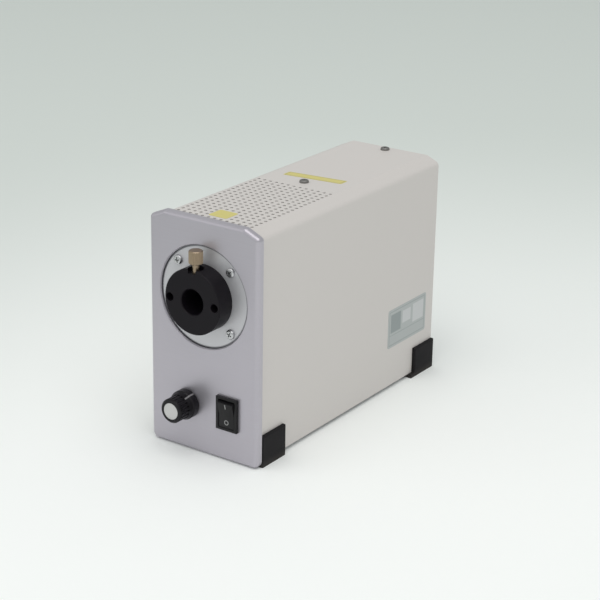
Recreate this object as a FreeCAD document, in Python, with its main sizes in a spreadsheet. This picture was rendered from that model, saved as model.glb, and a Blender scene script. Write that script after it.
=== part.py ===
import FreeCAD, Part
import math
import os
import Sketcher
from FreeCAD import Placement, Rotation, Vector

# A narrow upright light source for fibre optic light guides: a silver front panel with a light guide
# adapter, a brightness knob and a rocker switch, on a folded sheet metal case with a lamp, a fan,
# a control board and a transformer inside.
# Millimetres. X is the viewer's right, Y runs from the front to the back, Z is up from the bench.

doc = FreeCAD.newDocument("fiber_optic_illuminator")
sheet = doc.addObject("Spreadsheet::Sheet", "Sizes")


class Size:
    """A number together with the words of the sheet that give it."""

    def __init__(self, words, value):
        self.words = words
        self.value = value

    def __add__(self, other):
        return Size(f"({self.words} + {words(other)})", self.value + value(other))

    def __radd__(self, other):
        return Size(f"({words(other)} + {self.words})", value(other) + self.value)

    def __sub__(self, other):
        return Size(f"({self.words} - {words(other)})", self.value - value(other))

    def __rsub__(self, other):
        return Size(f"({words(other)} - {self.words})", value(other) - self.value)

    def __mul__(self, other):
        return Size(f"{self.words} * {words(other)}", self.value * value(other))

    def __rmul__(self, other):
        return Size(f"{words(other)} * {self.words}", value(other) * self.value)

    def __truediv__(self, other):
        return Size(f"{self.words} / {words(other)}", self.value / value(other))

    def __neg__(self):
        return Size(f"(0 - {self.words})", -self.value)

    def tan(self):
        return Size(f"tan({self.words})", math.tan(math.radians(self.value)))


def words(number):
    if isinstance(number, Size):
        return number.words
    return f"({number:g})" if number < 0 else f"{number:g}"


def value(number):
    return number.value if isinstance(number, Size) else float(number)


# The driving sizes

SIZES = [
    ("panel_width", 75, "front panel, side to side"),
    ("panel_top", 140, "front panel's top edge above the bench"),
    ("panel_lift", 0.4, "front panel's bottom edge above the bench"),
    ("panel_depth", 4.5, "front panel's folded lip, front to back"),
    ("panel_wall", 1.6, "front panel's sheet"),
    ("panel_bend", 2.5, "bend round the front panel's face"),
    ("panel_corner", 4, "front panel's lower corners"),
    ("bevel_run", 10, "bevel along the top edges, measured across the top"),
    ("bevel_angle", 23.5, "bevel's slope in degrees"),
    ("tuck_gap", 0.5, "cover inside the front panel's lip, each side"),
    ("case_depth", 190.5, "front face to the rear face of the case"),
    ("cover_wall", 1, "cover's sheet"),
    ("cover_bend", 3, "cover's outer bends"),
    ("inner_gap", 0.15, "chassis inside the cover, each side"),
    ("chassis_wall", 1.2, "chassis sheet"),
    ("chassis_blunt", 1, "corners taken off the cross walls below the bevels"),
    ("tab_reach", 12, "folded tabs on the chassis and the bulkhead"),
    ("strap_foot", 9.6, "feet of the transformer's straps, front to back"),
    ("cover_tab_width", 44, "tabs under the cover screws"),
    ("tie_pitch", 44, "screws that tie the bulkhead and the brackets down"),
    ("bulkhead_tab_width", 54, "bulkhead's tab on the floor"),
    ("tray_tab_height", 7, "tab from the tray up the bulkhead"),
    ("tray_tie_pitch", 48, "screws through that tab"),
    ("tray_tie_rise", 4.2, "those screws above the tray's underside"),
    ("tie_inset", 5, "screws behind the front edge of a folded foot"),
    ("cable_slot_width", 24, "cable slot in the bulkhead"),
    ("cable_slot_low", 4, "cable slot above the floor"),
    ("cable_slot_tall", 10, "cable slot, top to bottom"),
    ("floor_slots", 5, "air slots in the floor"),
    ("floor_slot_length", 28, "air slot, side to side"),
    ("floor_slot_width", 2.4, "air slot, front to back"),
    ("floor_slot_pitch", 8, "spacing of the air slots"),
    ("floor_slot_start", 40, "first air slot behind the front face"),
    ("vent_hole", 2, "hole of the vent in the cover"),
    ("vent_pitch", 4.2, "spacing of the vent holes"),
    ("vent_columns", 13, "vent holes across the cover"),
    ("vent_rows", 20, "vent holes along the cover"),
    ("vent_start", 10.5, "first row of vent holes behind the front face"),
    ("foot_height", 18.8, "corner foot's side flap"),
    ("foot_length", 22.5, "corner foot's side flap, front to back"),
    ("foot_wall", 2.4, "corner foot's flap, how far it stands out"),
    ("foot_under", 15, "corner foot's pad under the chassis"),
    ("foot_toe", 4, "rear pads, how far they run ahead of the flap"),
    ("foot_bend", 1, "corner foot's rounded edges"),
    ("peg_width", 4, "corner foot's peg"),
    ("barb_reach", 0.6, "peg's barb beyond the peg"),
    ("barb_length", 1.2, "peg's barb above the floor"),
    ("guide_height", 95, "light guide's axis above the bench"),
    ("guide_bore", 15, "light guide socket's bore"),
    ("port_bore", 59.6, "round opening in the front panel"),
    ("port_chamfer", 0.6, "chamfer round that opening"),
    ("flange_side", 66, "square flange plate"),
    ("flange_wall", 2, "flange plate's thickness"),
    ("boss_rise", 1.4, "flange plate's round boss, forward of its square"),
    ("boss_gap", 0.4, "round that boss, inside the panel's opening"),
    ("flange_screw_end", 3, "flange screws behind the lamp tray"),
    ("flange_pitch", 36, "flange screws, square pattern"),
    ("adapter_width", 38, "adapter's barrel"),
    ("adapter_reach", 10, "adapter in front of the front face"),
    ("spigot_width", 26, "adapter's spigot through the flange"),
    ("spigot_past_ring", 0.5, "spigot's end behind its lock ring"),
    ("ring_slot_depth", 1, "slots in the lock ring's back"),
    ("lock_ring_width", 34, "lock ring behind the flange"),
    ("lock_ring_length", 3, "lock ring, front to back"),
    ("key_pitch", 30.6, "two key holes in the adapter's face"),
    ("key_hole", 5, "key hole's bore"),
    ("key_depth", 6, "key hole's depth"),
    ("ring_slot", 3, "spanner slots in the lock ring"),
    ("barrel_chamfer", 0.6, "chamfer round the adapter's face"),
    ("bore_chamfer", 0.5, "chamfer round the adapter's bore"),
    ("clamp_set_back", 3.7, "clamp screw's axis behind the adapter's face"),
    ("clamp_thread", 4, "clamp screw's shank"),
    ("clamp_head_width", 8, "clamp screw's knurled head"),
    ("clamp_head_length", 7.6, "clamp screw's head, along its axis"),
    ("clamp_neck", 4.4, "clamp screw's bare neck under the head"),
    ("clamp_seat_width", 9, "flat milled in the barrel round the clamp screw"),
    ("clamp_seat_depth", 2.7, "how deep that flat lies in the barrel"),
    ("clamp_rest_gap", 0.6, "clamp pad's tip above the guide at rest"),
    ("clamp_head_lift", 5.2, "clamp screw's head above its flat"),
    ("knurl_count", 24, "knurls round the clamp screw's head"),
    ("knurl_width", 0.8, "one knurl groove"),
    ("clamp_chamfer", 0.5, "chamfers on the clamp screw's head"),
    ("pad_width", 3.4, "clamp pad under the screw"),
    ("pad_length", 2, "clamp pad, along the screw"),
    ("pad_stem", 1.6, "stem that holds the pad in the screw"),
    ("stem_length", 3, "that stem's length"),
    ("run_gap", 0.05, "running clearance round turning shafts"),
    ("slip_gap", 0.1, "clearance round parts that slip in place"),
    ("knob_left", 11.2, "knob's axis left of the middle"),
    ("knob_height", 28.9, "knob's axis above the bench"),
    ("knob_reach", 15.4, "knob's front in front of the front face"),
    ("knob_lift", 0.8, "knob's skirt clear of the front face"),
    ("skirt_width", 17.2, "knob's skirt"),
    ("skirt_length", 4.6, "knob's straight skirt"),
    ("shoulder_length", 3.4, "knob's cone from the skirt to the grip"),
    ("grip_width", 14.4, "knob's grip"),
    ("flute_width", 1.3, "flutes round the grip"),
    ("flute_count", 20, "flutes round the grip"),
    ("cap_width", 9.8, "bright cap in the knob's face"),
    ("cap_wall", 0.8, "bright cap's thickness"),
    ("knob_bore_end", 3.2, "knob's shaft bore stops behind its face"),
    ("rim_chamfer", 0.8, "chamfer round the knob's grip"),
    ("nut_room", 0.8, "room round the nut in the knob"),
    ("set_screw_length", 3.6, "knob's set screw"),
    ("set_screw_back", 2.2, "set screw ahead of the nut's room"),
    ("bush_width", 7, "control's threaded bush"),
    ("bush_reach", 4.6, "bush in front of the front face"),
    ("shaft_width", 6, "control's shaft"),
    ("control_width", 24, "control's case"),
    ("control_length", 9, "control's case, front to back"),
    ("wiper_width", 18, "wiper on the control's shaft"),
    ("wiper_wall", 1.6, "wiper's thickness"),
    ("control_wall", 2, "control case's wall"),
    ("lug_pitch", 5, "control's solder lugs"),
    ("lug_width", 1.6, "one lug"),
    ("lug_length", 13, "one lug, top to bottom"),
    ("lug_wall", 0.5, "lug's thickness"),
    ("nut_across", 10, "control nut across its flats"),
    ("nut_length", 2, "control nut's thickness"),
    ("washer_width", 12, "control washer"),
    ("washer_wall", 0.6, "control washer's thickness"),
    ("switch_right", 17.3, "switch right of the middle"),
    ("switch_height", 29.7, "switch above the bench"),
    ("bezel_width", 14.5, "switch bezel, side to side"),
    ("bezel_height", 19.9, "switch bezel, top to bottom"),
    ("bezel_reach", 1.8, "switch bezel in front of the front face"),
    ("switch_body_width", 12.8, "switch body behind the panel"),
    ("switch_body_height", 18.2, "switch body behind the panel"),
    ("switch_body_length", 14, "switch body behind the front face"),
    ("paddle_width", 10.4, "rocker, side to side"),
    ("paddle_height", 16.4, "rocker, end to end"),
    ("paddle_tilt", 7, "rocker's tilt each way in degrees"),
    ("paddle_pivot", 2.6, "rocker's pivot behind the front face"),
    ("paddle_pin", 2, "rocker's pivot pins"),
    ("blade_width", 6.3, "switch's spade terminals"),
    ("spade_wall", 0.8, "spade's thickness"),
    ("spade_length", 10.6, "spade, front to back"),
    ("spade_low", 5.5, "lower spade below the switch's middle"),
    ("spade_high", 1.5, "upper spade above the switch's middle"),
    ("switch_back_wall", 3, "wall at the back of the switch"),
    ("tray_height", 61, "lamp tray's underside above the bench"),
    ("bulkhead_place", 91, "bulkhead behind the front face"),
    ("filter_place", 20, "heat glass behind the front face"),
    ("filter_width", 30, "heat glass"),
    ("filter_wall", 3, "heat glass's thickness"),
    ("holder_width", 40, "heat glass holder"),
    ("holder_lip", 2, "holder's lip behind the glass"),
    ("clip_gap", 0.3, "spring clips clear of the glass"),
    ("clip_wall", 1, "spring clip's strip"),
    ("clip_lip", 2, "clip's lip over the glass"),
    ("clip_width", 5, "clip's width"),
    ("clip_front", 0.8, "clip's lip, front to back"),
    ("lamp_place", 45, "lamp's rim behind the front face"),
    ("lamp_width", 50.8, "lamp's rim"),
    ("lamp_rim", 3, "lamp's rim, front to back"),
    ("lamp_step", 1.4, "lamp's rim beyond its bowl"),
    ("lamp_glass", 1.5, "lamp reflector's wall"),
    ("lamp_neck", 13, "lamp's ceramic base"),
    ("lamp_pin_pitch", 5.3, "lamp's two pins"),
    ("lamp_pin", 1.6, "lamp's pins"),
    ("lamp_pin_length", 7, "lamp's pins behind its base"),
    ("lamp_pin_room", 1, "room past the lamp's pins in their socket"),
    ("lamp_base_length", 12, "lamp's ceramic base"),
    ("bulb_width", 9, "lamp's bulb"),
    ("bulb_length", 16, "bulb ahead of the base"),
    ("pinch_width", 8, "bulb's pinched end"),
    ("pinch_wall", 3, "pinched end's thickness"),
    ("neck_depth", 4, "base let into the bowl"),
    ("lamp_bracket_width", 58, "lamp bracket"),
    ("lamp_ledge", 2.9, "bracket's ledge behind the rim"),
    ("strap_gap", 1.6, "retainer's legs clear of the rim"),
    ("strap_wall", 1.2, "retainer's legs"),
    ("strap_width", 10, "retainer's legs, top to bottom"),
    ("strap_ring", 2.5, "retainer's ring"),
    ("strap_ring_wall", 1, "retainer ring's thickness"),
    ("ring_lap", 1, "retainer's arms over its ring"),
    ("strap_hook", 1.4, "retainer's hooks"),
    ("socket_width_across", 18, "lamp socket, side to side"),
    ("socket_rise", 12, "lamp socket, top to bottom"),
    ("socket_length", 12, "lamp socket, front to back"),
    ("socket_gap", 0.4, "lamp socket behind the base"),
    ("board_width", 62, "control board, side to side"),
    ("board_length", 56, "control board, front to back"),
    ("board_place", 31, "control board's front edge behind the front face"),
    ("board_height", 10, "control board's underside above the bench"),
    ("board_wall", 1.6, "control board's thickness"),
    ("board_inset", 4, "board screws in from the board's edges"),
    ("standoff_width", 6, "board's standoffs"),
    ("thread_bore", 2, "threaded holes and studs"),
    ("standoff_bore", 5, "standoff's threaded hole"),
    ("sink_left", 26, "heat sink's face left of the middle"),
    ("sink_wall", 2.5, "heat sink's plate"),
    ("sink_back", 18, "heat sink behind the board's front edge"),
    ("sink_length", 30, "heat sink, front to back"),
    ("sink_height", 26, "heat sink, top to bottom"),
    ("fin_reach", 8.5, "heat sink's fins"),
    ("fin_wall", 1.2, "one fin"),
    ("fin_count", 5, "fins on the heat sink"),
    ("triac_back", 10, "triac behind the heat sink's front edge"),
    ("triac_width", 10, "triac, front to back"),
    ("triac_lift", 4, "triac above the board"),
    ("triac_height", 9, "triac's body"),
    ("triac_depth", 4.5, "triac's body off the heat sink"),
    ("triac_tab_height", 6, "triac's tab above its body"),
    ("triac_tab_wall", 1.3, "triac's tab"),
    ("triac_leg", 0.8, "triac's legs"),
    ("triac_leg_pitch", 3, "spacing of those legs"),
    ("can_width", 16, "capacitor"),
    ("can_height", 24, "capacitor's straight sleeve"),
    ("can_back", 40, "capacitor behind the board's front edge"),
    ("wound_right", 14, "capacitor and choke right of the middle"),
    ("choke_back", 17, "choke behind the board's front edge"),
    ("choke_ring", 14, "choke's ring, across its middle"),
    ("choke_wire", 6.8, "choke's ring, through its winding"),
    ("choke_lift", 3.6, "choke's ring above the board"),
    ("block_length", 15, "terminal block, side to side"),
    ("block_left", 12, "terminal block's end left of the middle"),
    ("block_depth", 8, "terminal block, front to back"),
    ("block_height", 10, "terminal block, top to bottom"),
    ("way_pitch", 5, "terminals"),
    ("way_width", 3.2, "terminal's wire hole"),
    ("well_width", 3.8, "terminal's screw well"),
    ("way_past", 1, "terminal's wire hole past its screw well's axis"),
    ("core_width", 60, "transformer core, side to side"),
    ("core_height", 50, "transformer core, top to bottom"),
    ("core_stack", 26, "transformer core, front to back"),
    ("core_leg", 10, "transformer core's outer legs"),
    ("core_place", 127, "transformer core's front behind the front face"),
    ("core_lift", 4.6, "transformer core above the bench"),
    ("coil_reach", 8, "winding beyond the core"),
    ("coil_gap", 0.6, "winding clear of the outer legs"),
    ("bolt_reach", 3, "transformer bolts beyond the core"),
    ("bolt_nut", 2.4, "transformer bolts' nuts"),
    ("bolt_head", 2, "transformer bolts' heads"),
    ("fan_side", 60, "fan's square frame"),
    ("fan_depth", 25, "fan's frame, front to back"),
    ("fan_height", 92, "fan's axis above the bench"),
    ("fan_bore", 57.2, "fan's round duct"),
    ("fan_pitch", 50, "fan's screws, square pattern"),
    ("fan_hub", 25, "fan's hub"),
    ("blade_gap", 0.6, "fan blades clear of the duct"),
    ("blade_count", 7, "fan blades"),
    ("blade_tilt", 38, "fan blades' pitch in degrees"),
    ("blade_wall", 1.5, "fan blade's thickness"),
    ("fan_strut", 3, "fan frame's struts"),
    ("bearing_width", 6, "fan's bearing"),
    ("bearing_lead", 5, "bearing behind the duct's front"),
    ("cup_wall", 1.5, "rotor's cup"),
    ("cup_set_in", 5.5, "rotor's cup short of the fan's depth"),
    ("rotor_set_in", 1, "rotor behind the fan's front"),
    ("axle_past_cup", 1, "rotor's axle past its cup"),
    ("blade_root", 1, "blades' roots in the cup"),
    ("blade_end_room", 4.5, "blades short of the fan's depth at each end"),
    ("strut_root", 0.5, "fan's struts let into its frame"),
    ("stator_room", 3.5, "stator inside the rotor's hub"),
    ("stator_set_in", 1.5, "stator behind its bearing's front"),
    ("bearing_past", 1, "bearing's bore into the hub's disc"),
    ("guard_wire", 1.6, "fan guard's wire"),
    ("guard_rings", 4, "fan guard's rings"),
    ("guard_reach", 3.8, "furthest point behind the rear face of the case"),
    ("inlet_height", 31.5, "inlet's flange centre above the bench"),
    ("inlet_width", 50, "inlet's flange, side to side"),
    ("inlet_tall", 31, "inlet's flange, top to bottom"),
    ("inlet_wall", 2.5, "inlet's flange thickness"),
    ("inlet_body_width", 27.8, "inlet's body, side to side"),
    ("inlet_body_tall", 29.6, "inlet's body, top to bottom"),
    ("inlet_body_length", 22, "inlet's body inside the case"),
    ("inlet_screw_end", 6, "inlet's screws inside the rear wall"),
    ("inlet_nut", 2.4, "inlet's nuts, front to back"),
    ("drive_half", 1.6, "half a cross recess in the inlet's screws"),
    ("drive_slot", 0.4, "half that recess's width"),
    ("drive_depth", 0.9, "that recess's depth"),
    ("socket_width", 24.4, "inlet's plug socket, side to side"),
    ("socket_tall", 16.4, "inlet's plug socket, top to bottom"),
    ("socket_depth", 17, "inlet's plug socket"),
    ("drawer_width", 22.8, "fuse drawer, side to side"),
    ("drawer_tall", 6.6, "fuse drawer, top to bottom"),
    ("drawer_length", 15, "fuse drawer inside the inlet"),
    ("drawer_lip", 1.1, "fuse drawer's front plate"),
    ("drawer_brim", 0.5, "drawer's front plate beyond its sides"),
    ("drawer_end_room", 1, "room behind the fuse drawer"),
    ("drawer_back_wall", 1.2, "fuse drawer's inner end wall"),
    ("drawer_front_wall", 4, "fuse drawer behind its front plate"),
    ("fuse_set_back", 1.5, "fuse off the drawer's inner end"),
    ("pull_depth", 0.6, "drawer's finger slot"),
    ("pull_tall", 1.4, "finger slot, top to bottom"),
    ("pin_across", 7, "inlet's outer pins either side of the middle"),
    ("pin_wall", 2, "inlet pin's thickness"),
    ("pin_tall", 4, "inlet pin, top to bottom"),
    ("pin_tail", 7, "inlet's pins inside the case"),
    ("pin_set_back", 3, "inlet's pins behind its flange's face"),
    ("pin_offset", 2.5, "pins above and below the socket's middle"),
    ("socket_bevel", 4, "socket's two cut corners"),
    ("socket_low", 1.8, "socket above the body's underside"),
    ("drawer_rise", 2.2, "drawer above the socket"),
    ("pull_width", 10, "drawer's thumb slot"),
    ("fuse_cap", 5, "fuse's end caps"),
    ("screw_sink", 1.4, "countersink's depth"),
    ("fuse_width", 5, "fuse"),
    ("fuse_length", 20, "fuse"),
    ("screw_shank", 3, "machine screws' shank"),
    ("screw_head", 5.6, "machine screws' head"),
    ("screw_head_length", 1.6, "machine screws' head thickness"),
    ("cover_screw_front", 96.2, "front cover screw behind the front face"),
    ("cover_screw_rear", 184.6, "rear cover screw behind the front face"),
    ("sticker_wall", 0.1, "stickers' thickness"),
    ("label_front", 138, "side label behind the front face"),
    ("label_length", 44, "side label, front to back"),
    ("label_low", 27.5, "side label above the bench"),
    ("label_tall", 25, "side label, top to bottom"),
    ("strip_length", 38, "yellow strip sticker across the cover"),
    ("strip_width", 7, "yellow strip sticker"),
    ("strip_place", 107.5, "yellow strip behind the front face"),
    ("strip_turn", 7, "yellow strip's skew in degrees"),
    ("patch_length", 12.5, "small yellow sticker, side to side"),
    ("patch_width", 11.5, "small yellow sticker, front to back"),
    ("patch_place", 19, "small yellow sticker behind the front face"),
    ("patch_left", 0.5, "small yellow sticker's middle left of the case's"),
]


class Sheet:
    """The sheet's sizes, each under its own name."""


size = Sheet()
for row, (name, number, note) in enumerate(SIZES, start=1):
    sheet.set(f"A{row}", note)
    sheet.set(f"B{row}", str(number))
    sheet.setAlias(f"B{row}", name)
    setattr(size, name, Size(f"Sizes.{name}", number))
doc.recompute()

# Places worked out from the driving sizes

face_y = (size.knob_reach - size.case_depth - size.guard_reach) / 2
cover_inset = size.panel_wall + size.tuck_gap
chassis_lift = size.panel_lift + cover_inset
cover_inner = cover_inset + size.cover_wall
chassis_inset = cover_inner + size.inner_gap
cover_half = size.panel_width / 2 - cover_inset
chassis_half = size.panel_width / 2 - chassis_inset
cover_top = size.panel_top - cover_inset
chassis_top = size.panel_top - chassis_inset
chassis_front = size.panel_wall
flange_front = chassis_front + size.chassis_wall
tray_front = flange_front + size.flange_wall
rear_wall = size.case_depth - size.chassis_wall
floor_top = chassis_lift + size.chassis_wall
adapter_half = size.adapter_width / 2
shank = size.screw_shank / 2
shank_hole = shank + size.run_gap
clear_hole = shank + size.slip_gap
head_half = size.screw_head / 2


# Ways of making a piece

TURNS = {
    "x": Rotation(Vector(0, 1, 0), 90),
    "y": Rotation(Vector(1, 0, 0), -90),
    "z": Rotation(),
}
PLANES = {
    "xy": Rotation(),
    "xz": Rotation(Vector(1, 0, 0), 90),
    "yz": Rotation(Vector(1, 1, 1), 120),
}
NORMALS = {"xy": Vector(0, 0, 1), "xz": Vector(0, 1, 0), "yz": Vector(1, 0, 0)}
ROLES = {"xy": "XY_Plane", "xz": "XZ_Plane", "yz": "YZ_Plane"}


def bind(thing, path, number):
    """Ties one property of an object to the sheet."""
    if isinstance(number, Size):
        thing.setExpression(path, number.words)


def place(thing, x=0, y=0, z=0, turn=None):
    """Puts an object at a place in the case, with Y counted back from the front face."""
    spot = (x, y + face_y, z)
    thing.Placement = Placement(Vector(*[value(number) for number in spot]), turn or Rotation())
    for letter, number in zip("xyz", spot):
        bind(thing, f"Placement.Base.{letter}", number)
    return thing


def block(x, y, z):
    """A box between two places along each axis."""
    thing = doc.addObject("Part::Box", "block")
    for side, (low, high) in zip(("Length", "Width", "Height"), (x, y, z)):
        span = high - low
        setattr(thing, side, value(span))
        bind(thing, side, span)
    return place(thing, x[0], y[0], z[0])


def rod(axis, radius, low, high, first=0, second=0):
    """A cylinder along an axis, at the other two coordinates in XYZ order."""
    thing = doc.addObject("Part::Cylinder", "rod")
    thing.Radius = value(radius)
    bind(thing, "Radius", radius)
    thing.Height = value(high - low)
    bind(thing, "Height", high - low)
    spots = {"x": (low, first, second), "y": (first, low, second), "z": (first, second, low)}
    return place(thing, *spots[axis], TURNS[axis])


def cone(axis, radius_low, radius_high, low, high, first=0, second=0):
    """A cone along an axis."""
    thing = doc.addObject("Part::Cone", "cone")
    thing.Radius1 = value(radius_low)
    bind(thing, "Radius1", radius_low)
    thing.Radius2 = value(radius_high)
    bind(thing, "Radius2", radius_high)
    thing.Height = value(high - low)
    bind(thing, "Height", high - low)
    spots = {"x": (low, first, second), "y": (first, low, second), "z": (first, second, low)}
    return place(thing, *spots[axis], TURNS[axis])


def hoop(axis, ring_radius, wire_radius, x, y, z):
    """A torus round an axis."""
    thing = doc.addObject("Part::Torus", "hoop")
    thing.Radius1 = value(ring_radius)
    bind(thing, "Radius1", ring_radius)
    thing.Radius2 = value(wire_radius)
    bind(thing, "Radius2", wire_radius)
    return place(thing, x, y, z, TURNS[axis])


def named(thing, name):
    if name:
        thing.Label = name
    return thing


def fuse(*things, name=None):
    joined = doc.addObject("Part::MultiFuse", "fuse")
    joined.Shapes = list(things)
    return named(joined, name)


def group(*things, name=None):
    """Separate solids that share one node."""
    bundle = doc.addObject("Part::Compound", "group")
    bundle.Links = list(things)
    return named(bundle, name)


def cut(thing, *tools, name=None):
    result = doc.addObject("Part::Cut", "cut")
    result.Base = thing
    result.Tool = tools[0] if len(tools) == 1 else group(*tools)
    return named(result, name)


def circle(x, y, radius):
    return ("circle", x, y, radius)


def frame(x, y):
    """The four corners of a rectangle between two places along each axis."""
    return [(x[0], y[0]), (x[1], y[0]), (x[1], y[1]), (x[0], y[1])]


def hold(sketch, geometry, point, x, y):
    """Fixes a point of the sketch, on an axis where the coordinate is nought."""
    for kind, axis, number in (("DistanceX", -2, x), ("DistanceY", -1, y)):
        if not isinstance(number, Size) and number == 0:
            sketch.addConstraint(Sketcher.Constraint("PointOnObject", geometry, point, axis))
        else:
            index = sketch.addConstraint(Sketcher.Constraint(kind, geometry, point, value(number)))
            bind(sketch, f"Constraints[{index}]", number)


def draw(sketch, loops):
    """Draws closed outlines and circles, each held to its sizes."""
    for loop in loops:
        if loop[0] == "circle":
            x, y, radius = loop[1:]
            centre = Vector(value(x), value(y), 0)
            index = sketch.addGeometry(Part.Circle(centre, Vector(0, 0, 1), value(radius)))
            hold(sketch, index, 3, x, y)
            limit = sketch.addConstraint(Sketcher.Constraint("Radius", index, value(radius)))
            bind(sketch, f"Constraints[{limit}]", radius)
            continue
        corners = [Vector(value(x), value(y), 0) for x, y in loop]
        first = sketch.GeometryCount
        for number, corner in enumerate(corners):
            sketch.addGeometry(Part.LineSegment(corner, corners[(number + 1) % len(corners)]))
        for number, (x, y) in enumerate(loop):
            before = first + (number - 1) % len(corners)
            sketch.addConstraint(Sketcher.Constraint("Coincident", before, 2, first + number, 1))
            hold(sketch, first + number, 1, x, y)
    return sketch


def slab(plane, loops, low, high, name=None, at=(0, 0, 0)):
    """A flat plate from a drawn outline, between two places along the plane's normal."""
    sketch = doc.addObject("Sketcher::SketchObject", "outline")
    draw(sketch, loops)
    x, y, z = at
    spots = {"xy": (x, y, z + low), "xz": (x, y + low, z), "yz": (x + low, y, z)}
    place(sketch, *spots[plane], PLANES[plane])
    plate = doc.addObject("Part::Extrusion", "plate")
    plate.Base = sketch
    plate.DirMode = "Custom"
    plate.Dir = NORMALS[plane]
    plate.Solid = True
    plate.LengthFwd = value(high - low)
    bind(plate, "LengthFwd", high - low)
    return named(plate, name)


def new_body(name, x=0, y=0, z=0, turn=None):
    body = doc.addObject("PartDesign::Body", name)
    body.Label = name
    return place(body, x, y, z, turn)


def new_sketch(body, plane, loops, lift=0):
    """A sketch on one of the body's own planes, or lifted off it along the plane's normal."""
    sketch = body.newObject("Sketcher::SketchObject", "sketch")
    flat = [item for item in body.Origin.OriginFeatures if item.Role == ROLES[plane]][0]
    sketch.AttachmentSupport = [(flat, "")]
    sketch.MapMode = "FlatFace"
    sketch.AttachmentOffset = Placement(Vector(0, 0, value(lift)), Rotation())
    bind(sketch, "AttachmentOffset.Base.z", lift)
    return draw(sketch, loops)


def pad(body, sketch, length, backwards=False, centred=False):
    feature = body.newObject("PartDesign::Pad", "pad")
    feature.Profile = sketch
    feature.Length = value(length)
    bind(feature, "Length", length)
    feature.Reversed = backwards
    feature.Midplane = centred
    doc.recompute()
    return feature


def pocket(body, sketch, length=None, backwards=False):
    """Cuts to a depth, or right through both ways where no depth is given."""
    before = body.Shape.Volume
    feature = body.newObject("PartDesign::Pocket", "pocket")
    feature.Profile = sketch
    feature.Reversed = backwards
    if length is None:
        feature.Type = "ThroughAll"
        feature.Midplane = True
    else:
        feature.Length = value(length)
        bind(feature, "Length", length)
    doc.recompute()
    if body.Shape.Volume > before - 0.01:
        raise RuntimeError(f"{body.Label}: a pocket cuts nothing")
    return feature


def turned(body, sketch, axis):
    feature = body.newObject("PartDesign::Revolution", "turned")
    feature.Profile = sketch
    feature.ReferenceAxis = (sketch, [axis])
    feature.Angle = 360
    doc.recompute()
    return feature


def edges_where(feature, test):
    return [f"Edge{number}" for number, edge in enumerate(feature.Shape.Edges, start=1) if test(edge)]


def rounded(body, radius, test, kind="PartDesign::Fillet"):
    """Rounds or chamfers the edges of the body's tip that pass the test."""
    base = body.Tip
    feature = body.newObject(kind, "rounded")
    feature.Base = (base, edges_where(base, test))
    side = "Radius" if kind.endswith("Fillet") else "Size"
    setattr(feature, side, value(radius))
    bind(feature, side, radius)
    doc.recompute()
    return feature


def along_y(edge):
    box = edge.BoundBox
    return box.YLength > 0.01 and box.XLength < 0.001 and box.ZLength < 0.001


def at_corner(edge, corners):
    """Whether an edge along Y runs through one of an outline's corners."""
    box = edge.BoundBox
    return along_y(edge) and any(abs(box.XMin - value(x)) < 0.01 and abs(box.ZMin - value(z)) < 0.01
                                 for x, z in corners)


def screw(axis, x, y, z, length, points=1, head=head_half, head_length=size.screw_head_length, radius=shank):
    """A pan head screw. It points up or back its axis, or the other way, from under its head."""
    spot = {"x": x, "y": y, "z": z}[axis]
    across = {"x": (y, z), "y": (x, z), "z": (x, y)}[axis]
    if points > 0:
        top, low, high = spot - head_length, spot, spot + length
        ends = (head * 0.8, head, top, spot)
    else:
        top, low, high = spot + head_length, spot - length, spot
        ends = (head, head * 0.8, spot, top)
    body = fuse(cone(axis, *ends, *across), rod(axis, radius, low, high, *across))
    depth = head_length * 0.6
    arm = head * 0.62
    width = head * 0.14
    shallow = (top, top + depth) if points > 0 else (top - depth, top)
    slots = []
    for wide, tall in ((arm, width), (width, arm)):
        first, second = across
        spans = [(first - wide, first + wide), (second - tall, second + tall)]
        spans.insert("xyz".index(axis), shallow)
        slots.append(block(*spans))
    return cut(body, fuse(*slots))


def case_outline(inset, low, blunt=0):
    """The case's section inside its front panel: upright sides, sloping bevels and a flat top."""
    side = size.panel_width / 2 - inset
    flat = size.panel_width / 2 - size.bevel_run - inset * (size.bevel_angle / 2).tan()
    top = size.panel_top - inset
    shoulder = size.panel_top - size.bevel_run * size.bevel_angle.tan()
    shoulder = shoulder - inset * (45 - size.bevel_angle / 2).tan()
    if not blunt:
        return [(-side, low), (side, low), (side, shoulder), (flat, top), (-flat, top), (-side, shoulder)]
    cut_out = side - blunt
    cut_up = shoulder + blunt * size.bevel_angle.tan()
    cut_down = shoulder - blunt
    return [(-side, low), (side, low), (side, cut_down), (cut_out, cut_up), (flat, top), (-flat, top),
            (-cut_out, cut_up), (-side, cut_down)]


parts = []


def keep(thing):
    """Marks an object as a sub-part that is written out."""
    parts.append(thing)
    return thing


# Front panel: a pressed aluminium tray with a round port, a hole for the control and one for the switch

panel = new_body("front_panel")
pad(panel, new_sketch(panel, "xz", [case_outline(0, size.panel_lift)]), size.panel_depth, backwards=True)
rounded(panel, size.panel_corner, lambda edge: along_y(edge) and edge.BoundBox.ZMax < 10)
rounded(panel, size.panel_bend, lambda edge: along_y(edge) and edge.BoundBox.ZMin > 100)
rounded(panel, size.panel_bend, lambda edge: edge.BoundBox.YMax < 0.001)
tray_outline = case_outline(size.panel_wall, size.panel_lift + size.panel_wall)
pocket(panel, new_sketch(panel, "xz", [tray_outline], -size.panel_depth), size.panel_depth - size.panel_wall,
       backwards=True)
rounded(panel, size.panel_bend - size.panel_wall, lambda edge: at_corner(edge, tray_outline[2:]))
switch_cut_half = size.switch_body_width / 2 + size.slip_gap
switch_cut_rise = size.switch_body_height / 2 + size.slip_gap
bush_hole = size.bush_width / 2 + size.slip_gap
port = circle(0, size.guide_height, size.port_bore / 2)
control_hole = circle(-size.knob_left, size.knob_height, bush_hole)
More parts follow.
